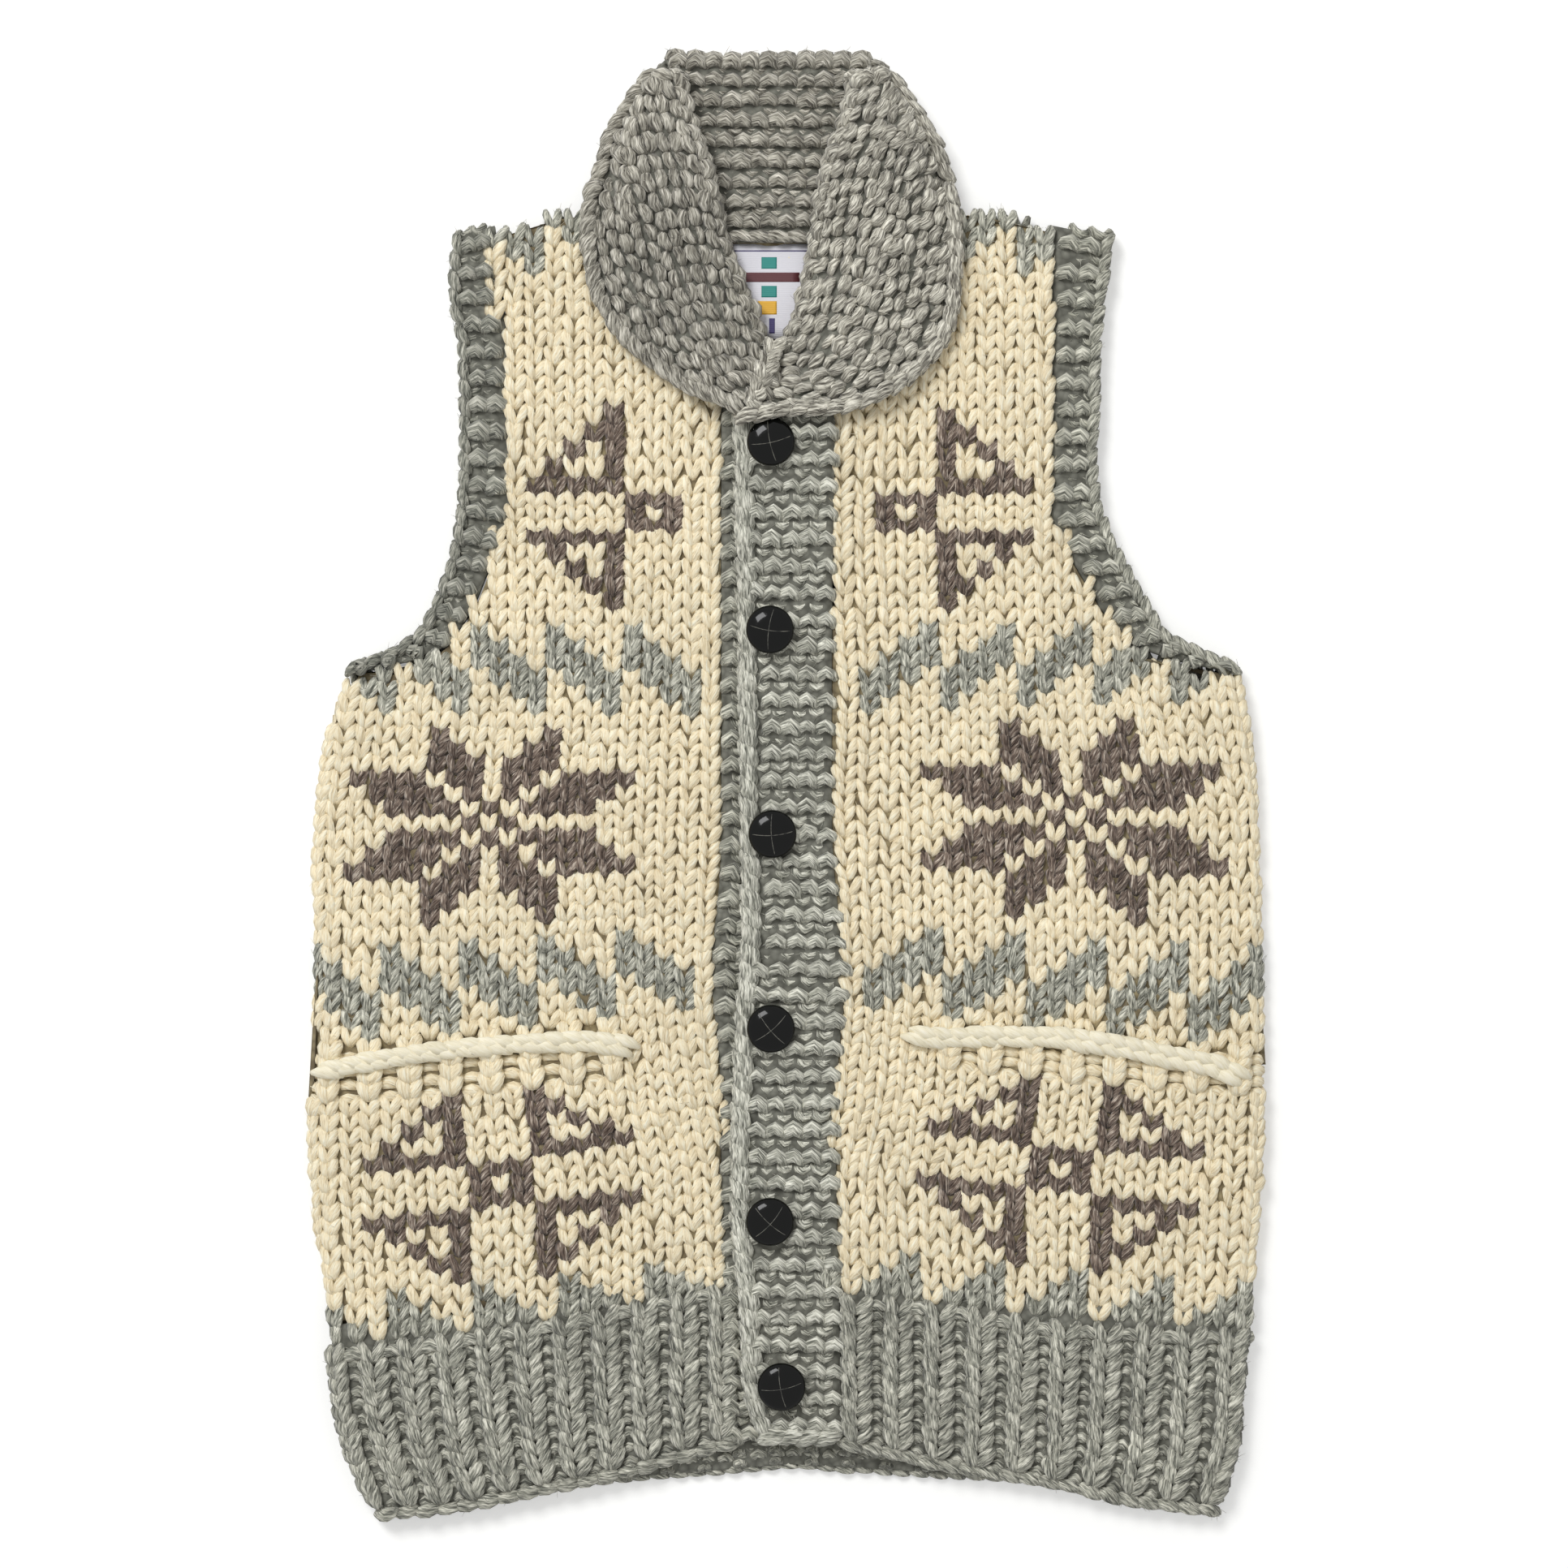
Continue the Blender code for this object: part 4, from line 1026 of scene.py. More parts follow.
# %% Where the button bands lie
BAND_GROUND = 3.2       # thickness of the cloth under their stitches
RIDGE = 14.0            # from one ridge to the next
KNUCKLE = 9.4           # width of a loop
BAND_COLUMNS = 5        # loops across the upper band
UPPER_BAND = outline(["button_band_upper"])
LOWER_BAND = outline(["button_band_lower"])
UPPER_TOP = box_mm("button_band_upper")[1][2]
LOWER_TOP = box_mm("button_band_lower")[1][2]
SELVEDGE = 10.0         # width of the rolled free edge
WAIST_Y, WAIST_REACH = -98.0, 38.0        # where the bands spread most, and how far up and down that goes


def bulge(y):
    """How much further the bands spread where the waist is drawn in, as a part of the most."""
    return np.exp(-((y - WAIST_Y) / WAIST_REACH) ** 2)


def upper_band_point(column, row):
    """A point on the upper band: columns from its sewn edge, rows up from its foot."""
    y = UPPER_BAND.at[0] + 3.0 + row * RIDGE
    sewn = high_at(UPPER_BAND, y) + 1.5 + 6.5 * bulge(y)
    knuckle = KNUCKLE + 1.2 * bulge(y)
    return np.stack(np.broadcast_arrays(sewn - column * knuckle, y, UPPER_TOP - YARN_SINK), axis=-1)


def band_layer(name, y, left, right, top):
    """The layer of cloth under a band, between its edges at some heights up the vest."""
    grid = np.stack(np.broadcast_arrays(np.linspace(left, right, 10, axis=1), y[:, None], top), axis=-1)
    return layer(name, grid, DOWN, BAND_GROUND, GREY_SHADED_GROUND)


# %% Knit the upper band
def knit_upper_band():
    """The upper band: ridges, the rolled selvedge and the cloth beneath."""
    skein = Skein()
    rows = int((UPPER_BAND.at[-1] - UPPER_BAND.at[0] - 4) / RIDGE)

    def inside(at):
        return at[:, 0] > low_at(UPPER_BAND, at[:, 1]) + SELVEDGE - 1.0

    lay_garter(skein, upper_band_point, np.arange(BAND_COLUMNS), np.arange(rows), way=-1, plump=1.3, bow=8.0,
               keep=inside)
    y = np.arange(UPPER_BAND.at[-1] - 2, UPPER_BAND.at[0] + 14, -4.0)
    side_line = np.stack([low_at(UPPER_BAND, y) + 4.6, y, np.full(len(y), UPPER_TOP - 3.0)], axis=1)
    foot_x = np.linspace(side_line[-1, 0] + 5, UPPER_BAND.high[0] - 2, 8)
    foot = np.stack([foot_x, np.full(8, UPPER_BAND.at[0] + 4.5), np.full(8, UPPER_TOP - 3.0)], axis=1)
    line = np.concatenate([side_line, foot])
    lay_chain(skein, line + [0.2, 0, 0], UP, pitch=9.5, stretch=1.75, lean=-24, plump=1.75)
    lay_chain(skein, line + [-1.4, 0, -4.4], UP, pitch=9.0, stretch=1.4, lean=0, plump=1.2)
    fray(skein, FRAY_GREY)
    stitches = skein.piece("button_band_upper_stitches", BAND_GREY)
    y = np.linspace(UPPER_BAND.at[0] + 3, UPPER_BAND.at[-1], 60)
    made = band_layer("button_band_upper_cloth", y, low_at(UPPER_BAND, y) + 3.0,
                      high_at(UPPER_BAND, y) + 6.0 * bulge(y), UPPER_TOP - BURIED - 1.2)
    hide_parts("button_band_upper")


knit_upper_band()


# %% Knit the lower band
def knit_lower_band():
    """The lower band, of which a strip shows beside the upper band's free edge."""
    skein = Skein()
    start = LOWER_BAND.low.min()
    rows = int((LOWER_BAND.at[-1] - LOWER_BAND.at[0]) / RIDGE)

    def at(column, row):
        y = LOWER_BAND.at[0] - 3.0 + row * RIDGE
        x = start + 1.0 - 4.5 * bulge(y) + column * (KNUCKLE + 1.5 * bulge(y))
        return np.stack(np.broadcast_arrays(x, y, LOWER_TOP - 1.4), axis=-1)

    lay_garter(skein, at, np.arange(3), np.arange(rows + 1), plump=1.5, sunk=2.2, bow=8.5)
    fray(skein, FRAY_GREY)
    stitches = skein.piece("button_band_lower_stitches", GREY)
    y = np.linspace(LOWER_BAND.at[0] + 1, LOWER_BAND.at[-1], 50)
    made = band_layer("button_band_lower_cloth", y, start - 5.0 * bulge(y), LOWER_BAND.high.max(),
                      LOWER_TOP - BURIED - 0.6)
    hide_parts("button_band_lower")


knit_lower_band()

# %% [markdown]
# ## Armhole bands
#
# A narrow band of garter stitch runs round each armhole.  It is knitted the short way like the button
# bands, so its ridges stand square to the edge, and it ends in a chain at the free edge.  Laid flat, its
# front half lies on its back half.

# %% Where the armhole bands lie
# Sections of the armhole bands, from the underarm up to the shoulder: the free edge and the sewn edge.
Armhole = namedtuple("Armhole", "free_y free_right free_left sewn_y sewn_right sewn_left")
ARMHOLES = [
    Armhole(63.5, -231.0, 237.5, 58.5, -230.5, 237.0),
    Armhole(71.0, -207.0, 216.0, 65.5, -198.0, 206.0),
    Armhole(80.0, -194.0, 199.0, 74.0, -179.0, 182.0),
    Armhole(97.0, -185.0, 188.5, 93.0, -167.0, 167.0),
    Armhole(114.0, -178.5, 179.5, 112.0, -159.5, 156.0),
    Armhole(131.0, -174.5, 170.5, 128.0, -151.5, 146.0),
    Armhole(146.0, -173.0, 165.0, 142.0, -148.0, 140.5),
    Armhole(165.0, -171.5, 162.5, 165.0, -147.5, 140.5),
    Armhole(200.0, -172.0, 164.0, 200.0, -148.0, 142.0),
    Armhole(232.0, -172.5, 164.5, 232.0, -150.5, 142.0),
    Armhole(250.0, -176.5, 166.0, 250.0, -152.0, 142.0),
    Armhole(268.0, -177.5, 169.0, 269.0, -154.0, 142.0),
    Armhole(286.5, -175.0, 171.0, 292.0, -156.0, 143.0),
]
ARM_RIDGE = 13.7        # from one ridge to the next
ARM_CHAIN = 6.0         # width of the chain at the free edge
ARM_COLUMNS = 2         # loops across the band
ARM_ROUND = 5.0         # how far in from the free edge the band rounds off


def armhole_lines(side):
    """The sewn and the free edge of an armhole band, and the distance along its middle."""
    sewn = np.array([(getattr(row, f"sewn_{side}"), row.sewn_y) for row in ARMHOLES])
    free = np.array([(getattr(row, f"free_{side}"), row.free_y) for row in ARMHOLES])
    middle = (sewn + free) / 2
    reach = np.concatenate([[0.0], np.cumsum(np.linalg.norm(np.diff(middle, axis=0), axis=1))])
    return sewn, free, reach


def armhole_point(side, face, across, reach, sink):
    """A point on an armhole band: millimetres in from its sewn edge and along it, on one of its faces."""
    sewn, free, along = armhole_lines(side)
    inner, outer = resampled(sewn, along, reach), resampled(free, along, reach)
    wide = np.linalg.norm(outer - inner, axis=-1)
    part = across / wide
    plan = inner + (outer - inner) * part[..., None]
    round_off = np.clip((across - wide + ARM_ROUND) / ARM_ROUND, 0, 1)
    drop = ARM_ROUND * (1 - np.sqrt(1 - np.minimum(round_off, 0.97) ** 2))
    z = FRONT_TOP - sink - drop if face == "front" else sink + drop
    return np.concatenate([plan, np.broadcast_to(z, part.shape)[..., None]], axis=-1), wide


# %% Knit the armhole bands
def knit_armhole(side, face):
    """One half of an armhole band: ridges, the chain at its edge and the cloth beneath."""
    long = armhole_lines(side)[2][-1]
    way = SIDES[side] if face == "front" else -SIDES[side]
    out = UP if face == "front" else DOWN
    rows = int(long / ARM_RIDGE)
    lie = YARN_SINK if face == "front" else 3.1
    skein = Skein()

    def at(column, row):
        reach = row * long / rows
        _, wide = armhole_point(side, face, np.zeros_like(reach), reach, lie)
        pitch = np.maximum(wide - ARM_CHAIN, 2.0) / ARM_COLUMNS
        return armhole_point(side, face, column * pitch, reach, lie)[0]

    lay_garter(skein, at, np.arange(ARM_COLUMNS), np.arange(rows), way=way, plump=1.55, sunk=3.2, bow=6.5,
               corners=SIDES_SEEN if face == "front" else SIDES_HIDDEN)
    reach = np.linspace(0, long, 80)
    _, wide = armhole_point(side, face, np.zeros_like(reach), reach, lie)
    edge = armhole_point(side, face, wide - 3.2, reach, lie)[0]
    lay_chain(skein, edge, out, pitch=9.5, stretch=1.35, lean=18 * way, plump=1.1)
    fray(skein, FRAY_GREY if face == "front" else 0.5)
    stitches = skein.piece(f"armhole_{side}_{face}_stitches", ARMHOLE_GREY[side])
    deep = BURIED + 1.2 if face == "front" else 3.6
    parts = np.linspace(-0.16, 1, 8)
    grid = np.array([armhole_point(side, face, parts * (w - 2.0), np.full(8, r), deep)[0]
                     for w, r in zip(wide, reach)])
    made = layer(f"armhole_{side}_{face}_cloth", grid, -out, 2.2, GREY_SHADED_GROUND)
    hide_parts(f"armhole_band_{side}_{face}")


for side in SIDES:
    for face in ("front", "back"):
        knit_armhole(side, face)

# %% [markdown]
# ## The shawl collar
#
# The collar is one thick garter-stitch cloth.  It stands up from the neck and rolls over into a broad leaf,
# so its ridges follow the roll.  A table gives its sections: the roll, the free edge and the seam.  From
# them comes a map of the outer face, by distance round the neck and distance out from the roll.

# %% The collar's sections
CENTRE_X = -9.5           # the collar's middle
LEAF = 8.0                # thickness of the leaf
STAND = 6.0               # and of the stand under it
SLACK = 0.6               # inside the fold
SHOULDER_Y = 310.0        # above this the collar lies on its own back half

# From the centre front up to the top corner, as distances from the collar's middle.
Roll = namedtuple("Roll", "roll roll_y edge edge_y seam stand_z leaf")
COLLAR = {
    "right": [
        Roll(-2.1, 228.9, 15.3, 193.0, 0.62, 8.6, LEAF),
        Roll(0.2, 232.2, 32.9, 201.2, 0.59, 8.6, LEAF),
        Roll(1.8, 236.0, 46.5, 207.7, 0.59, 8.6, LEAF),
        Roll(4.3, 243.0, 63.0, 220.0, 0.59, 8.6, LEAF),
        Roll(8.0, 252.0, 77.7, 232.5, 0.59, 8.6, LEAF),
        Roll(12.4, 262.6, 88.4, 248.5, 0.58, 8.6, LEAF),
        Roll(17.0, 275.0, 94.5, 265.6, 0.59, 8.6, LEAF),
        Roll(20.9, 289.0, 97.0, 285.0, 0.60, 9.6, LEAF),
        Roll(25.2, 306.5, 95.6, 304.5, 0.60, 15.6, LEAF),
        Roll(30.3, 325.0, 90.0, 323.2, 0.72, 15.6, LEAF),
        Roll(36.3, 342.5, 83.3, 342.5, 0.72, 15.6, LEAF),
        Roll(41.4, 358.5, 73.6, 359.0, 0.66, 15.6, 7.0),
        Roll(44.6, 370.8, 63.8, 371.6, 0.66, 15.6, 5.0),
    ],
    "left": [
        Roll(3.4, 228.2, -16.5, 188.6, 0.60, 8.6, LEAF),
        Roll(4.4, 228.9, 9.8, 192.2, 0.60, 8.6, LEAF),
        Roll(5.6, 230.0, 35.4, 193.8, 0.60, 8.6, LEAF),
        Roll(7.2, 233.0, 59.0, 201.5, 0.59, 8.6, LEAF),
        Roll(9.8, 239.5, 76.0, 212.2, 0.58, 8.6, LEAF),
        Roll(13.2, 249.0, 91.0, 228.5, 0.58, 8.6, LEAF),
        Roll(16.2, 261.3, 97.8, 244.5, 0.57, 8.6, LEAF),
        Roll(18.6, 274.0, 99.7, 263.5, 0.57, 8.6, LEAF),
        Roll(20.9, 289.0, 100.0, 285.0, 0.57, 9.6, LEAF),
        Roll(23.9, 306.5, 98.2, 304.5, 0.58, 15.6, LEAF),
        Roll(28.0, 325.0, 93.5, 323.2, 0.72, 15.6, LEAF),
        Roll(34.6, 342.5, 85.2, 342.5, 0.72, 15.6, LEAF),
        Roll(38.9, 358.5, 74.4, 359.0, 0.66, 15.6, 7.0),
        Roll(41.6, 370.8, 65.2, 371.6, 0.66, 15.6, 5.0),
    ],
}

# %% One section of the collar
BACK_LEAF = 7.5
LEAF_RISE = {"right": (-60.0, -32.0), "left": (78.0, 33.0)}   # where the leaf climbs onto the bands


def smooth_column(rows, name, at):
    """One column of the sections at a place between them, smoothly."""
    values = column_of(rows, name)
    slopes = np.gradient(values)
    at = np.clip(at, 0, len(values) - 1)
    i = np.minimum(at.astype(int), len(values) - 2)
    t = at - i
    return ((2 * t ** 3 - 3 * t ** 2 + 1) * values[i] + (t ** 3 - 2 * t ** 2 + t) * slopes[i]
            + (3 * t ** 2 - 2 * t ** 3) * values[i + 1] + (t ** 3 - t ** 2) * slopes[i + 1])


def collar_rest(x):
    """Height on which the leaf rests: on the fronts, or on the button bands at the middle."""
    start, end = LEAF_RISE["right"] if x < CENTRE_X else LEAF_RISE["left"]
    return FRONT_TOP + 0.6 + (UPPER_TOP + 0.3 - FRONT_TOP - 0.6) * ease((x - start) / (end - start))


def collar_section(side, place):
    """Points round a section of the collar, from its seam over the roll to its free edge."""
    rows = COLLAR[side]
    value = {name: float(smooth_column(rows, name, np.array(float(place)))) for name in Roll._fields}
    way = SIDES[side]
    fold = np.array([CENTRE_X + way * value["roll"], value["roll_y"]])
    edge = np.array([CENTRE_X + way * value["edge"], value["edge_y"]])
    wide = np.linalg.norm(edge - fold)
    out = (edge - fold) / wide
    seam = value["seam"] * wide
    near = value["stand_z"] + STAND + SLACK
    radius = (near + value["leaf"] - value["stand_z"]) / 2
    middle = value["stand_z"] + radius
    line = [(seam, value["stand_z"]), ((seam + radius) / 2, value["stand_z"])]
    for turn in np.radians(np.linspace(-90, 90, 11)):
        line.append((radius * (1 - math.cos(turn)), middle + radius * math.sin(turn)))
    for part in np.linspace(0.08, 1.0, 12):
        reach = radius + (wide - value["leaf"] / 2 - radius) * part
        on_fronts = value["edge_y"] < SHOULDER_Y
        rest = collar_rest((fold + out * reach)[0]) if on_fronts else BACK_LEAF + 0.3
        start, end = (radius, seam) if rest > near else (seam + 2.0, wide)
        line.append((reach, near + (rest - near) * ease((reach - start) / (end - start)) + value["leaf"]))
    reach, top = line[-1]
    half = value["leaf"] / 2
    for turn in np.radians((30, 60, 85)):
        line.append((reach + half * math.sin(turn), top - half * (1 - math.cos(turn))))
    line = np.array(line)
    return np.stack([fold[0] + out[0] * line[:, 0], fold[1] + out[1] * line[:, 0], line[:, 1]], axis=1)


# %% A map of the collar's outer face
ROLL_POINT = 7      # the point of a section that is farthest out on the roll
SECTIONS = 8        # sections between two rows of the table


def collar_map(side):
    """All sections of one side, and how far each point is over the cloth from the roll."""
    places = np.arange(0, len(COLLAR[side]) - 1 + 1e-6, 1 / SECTIONS)
    grid = np.array([collar_section(side, place) for place in places])
    steps = np.linalg.norm(np.diff(grid, axis=1), axis=2)
    reach = np.concatenate([np.zeros((len(grid), 1)), np.cumsum(steps, axis=1)], axis=1)
    return grid, reach - reach[:, [ROLL_POINT]]


def collar_line(grid, reach, distance):
    """The line over the collar that keeps a distance from the roll, and the way out at each point."""
    points, outs = [], []
    for line, along in zip(grid, reach):
        if distance > along[-1] + 0.01:
            continue
        points.append(resampled(line, along, distance))
        outs.append(resampled(line, along, distance + 2.0) - resampled(line, along, distance - 2.0))
    points, across = np.array(points), np.array(outs)
    ahead = np.gradient(points, axis=0)
    return points, unit(np.cross(ahead, across))


# %% Knit the collar's two sides
CHAIN_SPACE = 6.5       # from one chain of grains to the next
GRAIN_PITCH = 10.3      # from one grain to the next


def lay_front_seam(skein, grid):
    """The seam down the middle of the front, where the left side is sewn over the right one."""
    cover = grid.reshape(-1, 3)
    seam = np.array([[x, y, 0.0] for x, y in zip(np.linspace(-8, -20, 7), np.linspace(231, 197, 7))])
    for point in seam:
        near = np.hypot(*(cover[:, :2] - point[:2]).T) < 9.0
        point[2] = cover[near, 2].max() - 1.5
    lay_chain(skein, seam, UP, pitch=7.5, stretch=1.5, lean=-34, plump=1.35)
    lay_chain(skein, seam + [5.0, 2.0, -0.4], UP, pitch=7.5, stretch=1.4, lean=24, plump=1.25)


def knit_collar_side(side):
    """A side of the collar: chains of slanting grains that follow the roll, and a corded free edge."""
    way = SIDES[side]
    grid, reach = collar_map(side)
    skein = Skein()
    for step in range(-2, 14):
        distance = step * CHAIN_SPACE
        runs = np.array([line[-1] for line in reach]) > distance + 6.5
        if not runs.any():
            continue
        first, last = np.flatnonzero(runs)[[0, -1]]
        points, outs = collar_line(grid[first:last + 1], reach[first:last + 1], distance)
        outs = outs * -way
        odd = step % 2
        places = along_line(points - outs * 2.4, outs, GRAIN_PITCH, stretch=1.1, phase=odd / 2, anchor=0.62)
        places = places._replace(along=places.along * (way if odd else -way))
        lay_stitches(skein, places, CURL, plump=1.05, lift=-0.4 if odd else 0.0, lean=11 if odd else -11,
                     stray=2.2)
    end = grid[-1][ROLL_POINT:]
    lay_chain(skein, end - [0, 2.0, 2.4], [0, 0.5, 1.0], pitch=8.5, stretch=1.2, lean=0, plump=1.3)
    edge = np.array([resampled(line, along, along[-1] - 4.6) for line, along in zip(grid, reach)])
    lay_chain(skein, edge - UP * 1.6, UP, pitch=9.0, stretch=1.6, lean=-20 * way, plump=1.45)
    lay_chain(skein, edge - UP * 5.0, UP, pitch=10.0, stretch=1.3, lean=-4 * way, plump=1.25)
    if side == "left":
        lay_front_seam(skein, grid)
    fray(skein, FRAY_GREY)
    stitches = skein.piece(f"collar_{side}_stitches", COLLAR_GREY[side])
    return stitches


# %% The cloth inside the collar's two sides
def collar_ground(side, stitches):
    """The thin layer of cloth inside a side of the collar."""
    grid, reach = collar_map(side)
    cloth = np.array([resampled(line, along, np.linspace(along[0], along[-1] - 2.5, 40))
                      for line, along in zip(grid[::2], reach[::2])])
    normals = facing(cloth, UP)
    under = cloth - normals * (BURIED + 1.0)
    made = layer(f"collar_{side}_cloth", under, -normals, 1.6, GREY_SHADED_GROUND)
    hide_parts(f"collar_{side}")


for side in SIDES:
    collar_ground(side, knit_collar_side(side))

# %% [markdown]
# ### The back of the collar
#
# Behind the neck the collar stands straight up, folds over at the top and hangs down behind.  Its inner
# face shows between the rolls as level ridges.

# %% Where the collar's back lies
# Half widths of its hanging leaf and of its standing part, at heights up the vest.
BackCollar = namedtuple("BackCollar", "y leaf stand")
BACK_COLLAR = [
    BackCollar(286.5, 96.0, 64.0),
    BackCollar(306.5, 95.0, 62.0),
    BackCollar(323.0, 90.0, 60.0),
    BackCollar(342.5, 83.3, 57.0),
    BackCollar(358.0, 74.0, 56.0),
    BackCollar(371.0, 64.5, 55.0),
    BackCollar(384.0, 56.0, 53.0),
]
COLLAR_TOP_Y = box_mm("collar_back")[1][1]
COLLAR_TOP_Z = box_mm("collar_back")[1][2]
TURN_RADIUS = COLLAR_TOP_Z / 2
STAND_FOOT = 280.0        # height up the vest where its inner face starts
LEAF_END = 308.0          # and where the leaf behind it ends
STRAIGHT = COLLAR_TOP_Y - TURN_RADIUS - STAND_FOOT      # length of the inner face up to the turn
COLLAR_LONG = STRAIGHT + math.pi * TURN_RADIUS + (COLLAR_TOP_Y - TURN_RADIUS - LEAF_END)
NECK_RIDGE = 10.6         # from one ridge to the next
NECK_FIRST_Y = 294.6      # the first ridge that shows whole


def back_collar_point(across, reach, sink):
    """A point on the collar's back: reach runs up its inner face, over the top and down behind."""
    turn = np.clip((reach - STRAIGHT) / TURN_RADIUS, 0, math.pi)
    beyond = np.maximum(reach - STRAIGHT - math.pi * TURN_RADIUS, 0)
    y = STAND_FOOT + np.minimum(reach, STRAIGHT) + (TURN_RADIUS - sink) * np.sin(turn) - beyond
    z = TURN_RADIUS + (TURN_RADIUS - sink) * np.cos(turn)
    stand, leaf = (read_table(BACK_COLLAR, y, name) for name in ("stand", "leaf"))
    half = stand + (leaf - stand) * (turn / math.pi)
    return np.stack(np.broadcast_arrays(CENTRE_X + across * half, y, z), axis=-1), half


# %% Knit the back of the collar
def knit_collar_back():
    """The collar's back: level ridges on both faces and over the top."""
    skein = Skein()
    first = NECK_FIRST_Y - STAND_FOOT - NECK_RIDGE / 2
    for row in range(int((COLLAR_LONG - first) / NECK_RIDGE)):
        reach = first + row * NECK_RIDGE
        _, half = back_collar_point(np.zeros(1), np.array([reach + NECK_RIDGE / 2]), 2.4)
        number = int(2 * half[0] / KNUCKLE)

        def at(column, rows):
            return back_collar_point(0.96 * (column / number * 2 - 1), first + rows * NECK_RIDGE, 2.6)[0]

        lay_garter(skein, at, np.arange(number), np.array([row]), plump=1.3, sunk=3.0, bow=5.5)
    cast_off = back_collar_point(np.linspace(-0.62, 0.62, 20), np.full(20, 6.6), 2.6)[0]
    lay_chain(skein, cast_off, UP, pitch=10.5, stretch=1.5, lean=8, plump=1.05)
    fray(skein, 1.5)
    stitches = skein.piece("collar_back_stitches", COLLAR_GREY["right"])
    parts = np.linspace(-1, 1, 40)
    grid = np.array([back_collar_point(parts * 0.97, np.full(40, reach), BURIED + 1.2)[0]
                     for reach in np.linspace(4.0, COLLAR_LONG, 60)])
    normals = unit(np.cross(np.gradient(grid, axis=1), np.gradient(grid, axis=0)))
    normals = normals * np.sign((normals[:10] @ UP).sum())      # the first rows face up
    made = layer("collar_back_cloth", grid, -normals, 2.4, GREY_SHADED_GROUND)
    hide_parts("collar_back")


knit_collar_back()

# %% [markdown]
# ## The back
#
# The back is knitted like the fronts, with the same bands of zigzags, stars and birds.  It lies face down,
# so its stitches are a little simpler.  Between the collar's rolls its inside shows, the purl side.

# %% Where the back's stitches lie
BACK_LIE = 3.0          # the middle of its yarn lies this far above the table
BACK_GUIDES = [
    Guide(0, -290.0, -303.0, -290.0, -294.0),
    Guide(21, -120.0, -137.0, -120.0, -138.0),
    Guide(34, -23.0, -25.0, -23.0, -22.0),
    Guide(42, 36.0, 38.0, 36.0, 43.0),
    Guide(62, 197.0, 197.0, 197.0, 197.0),
    Guide(76, 300.0, 298.0, 300.0, 298.0),
]
BACK_GAUGE = 10.2       # width of a column
BACK_COLUMNS = 25       # columns on each side of the middle one
BACK_HALF = 245.0       # from the middle to the side folds


def back_height(across, row):
    """Height of the back's row of knitting at a signed distance from its middle."""
    part = np.minimum(np.abs(across) / BACK_HALF, 1.0) ** 2
    centre = read_table(BACK_GUIDES, row, "band_right")
    right, left = (read_table(BACK_GUIDES, row, f"side_{side}") for side in ("right", "left"))
    return centre + (np.where(across < 0, right, left) - centre) * part


def back_wide(across, y):
    """How far the back reaches from its middle, on the side of a signed distance from it."""
    return np.where(across < 0, -low_at(BACK, y), high_at(BACK, y))


def back_point(across, y, lie):
    """A point on the back: its outer face is down, and its sides turn up to meet the fronts."""
    wide = back_wide(across, y)
    turn = np.where(y < UNDERARM, np.clip((np.abs(across) - wide + CLOTH) / CLOTH, 0, math.pi / 2), 0.0)
    flat = np.where(turn > 0, wide - CLOTH, np.abs(across))
    x = np.sign(across) * (flat + (CLOTH - lie) * np.sin(turn))
    over = np.clip((y - high_at(BACK_TOP_LINE, x) + CLOTH) / CLOTH, 0, 1)
    drop = CLOTH * (1 - np.sqrt(1 - over ** 2))
    z = CLOTH - (CLOTH - lie) * np.cos(turn) + drop
    return np.stack(np.broadcast_arrays(x, y, z), axis=-1)


def back_places():
    """Every stitch of the back: its column, counted from the middle, its row and its place."""
    column, row = every(np.arange(-BACK_COLUMNS, BACK_COLUMNS + 1), np.arange(ROWS))
    across = column * BACK_GAUGE
    y = back_height(across, row + 0.5)
    wide = back_wide(across, y)
    inside = np.abs(across) < np.where(y < UNDERARM, wide - CLOTH + CLOTH * 1.4, wide - 3.0)
    inside &= (np.abs(across) < back_wide(across, y + ROW_HIGH) + 1) | (y + ROW_HIGH < UNDERARM)
    inside &= y < high_at(BACK_TOP_LINE, across) - 4.0
    column, row = column[inside], row[inside]

    def at(columns, rows):
        across = columns * BACK_GAUGE
        return back_point(across, back_height(across, rows), BACK_LIE)

    return column, row, places_from(at, column.astype(float), row + 0.5, -1)


# %% Knit the back
def back_yarn(column, row):
    """The yarn of a stitch on the back, with columns counted from its middle."""
    across = abs(column)
    if bird(across, abs(row - HALF_BIRD_ROW), 7) and across <= 7:
        return "brown"
    if HALF_BIRD_ROW - 8 <= row <= HALF_BIRD_ROW + 8:
        return "cream"
    return front_yarn(across, row)


def knit_back():
    """The back's stitches, as one piece for each yarn."""
    column, row, places = back_places()
    yarn = np.array([back_yarn(c, r) for c, r in zip(column, row)])
    pieces = []
    for name, material in WOOLS.items():
        skein = Skein()
        lay_knit(skein, chosen(places, yarn == name), LEG_HIDDEN, corners=SIDES_HIDDEN)
        pieces.append(skein.piece(f"back_{PIECE_NAMES[name]}_stitches", material))
    return pieces


# %% The back's inside, and its cloth
INSIDE_WIDE, INSIDE_HIGH = 10.0, 6.6      # size of a purl stitch
INSIDE_FOOT = 222.0                       # height up the vest of the first ones that show


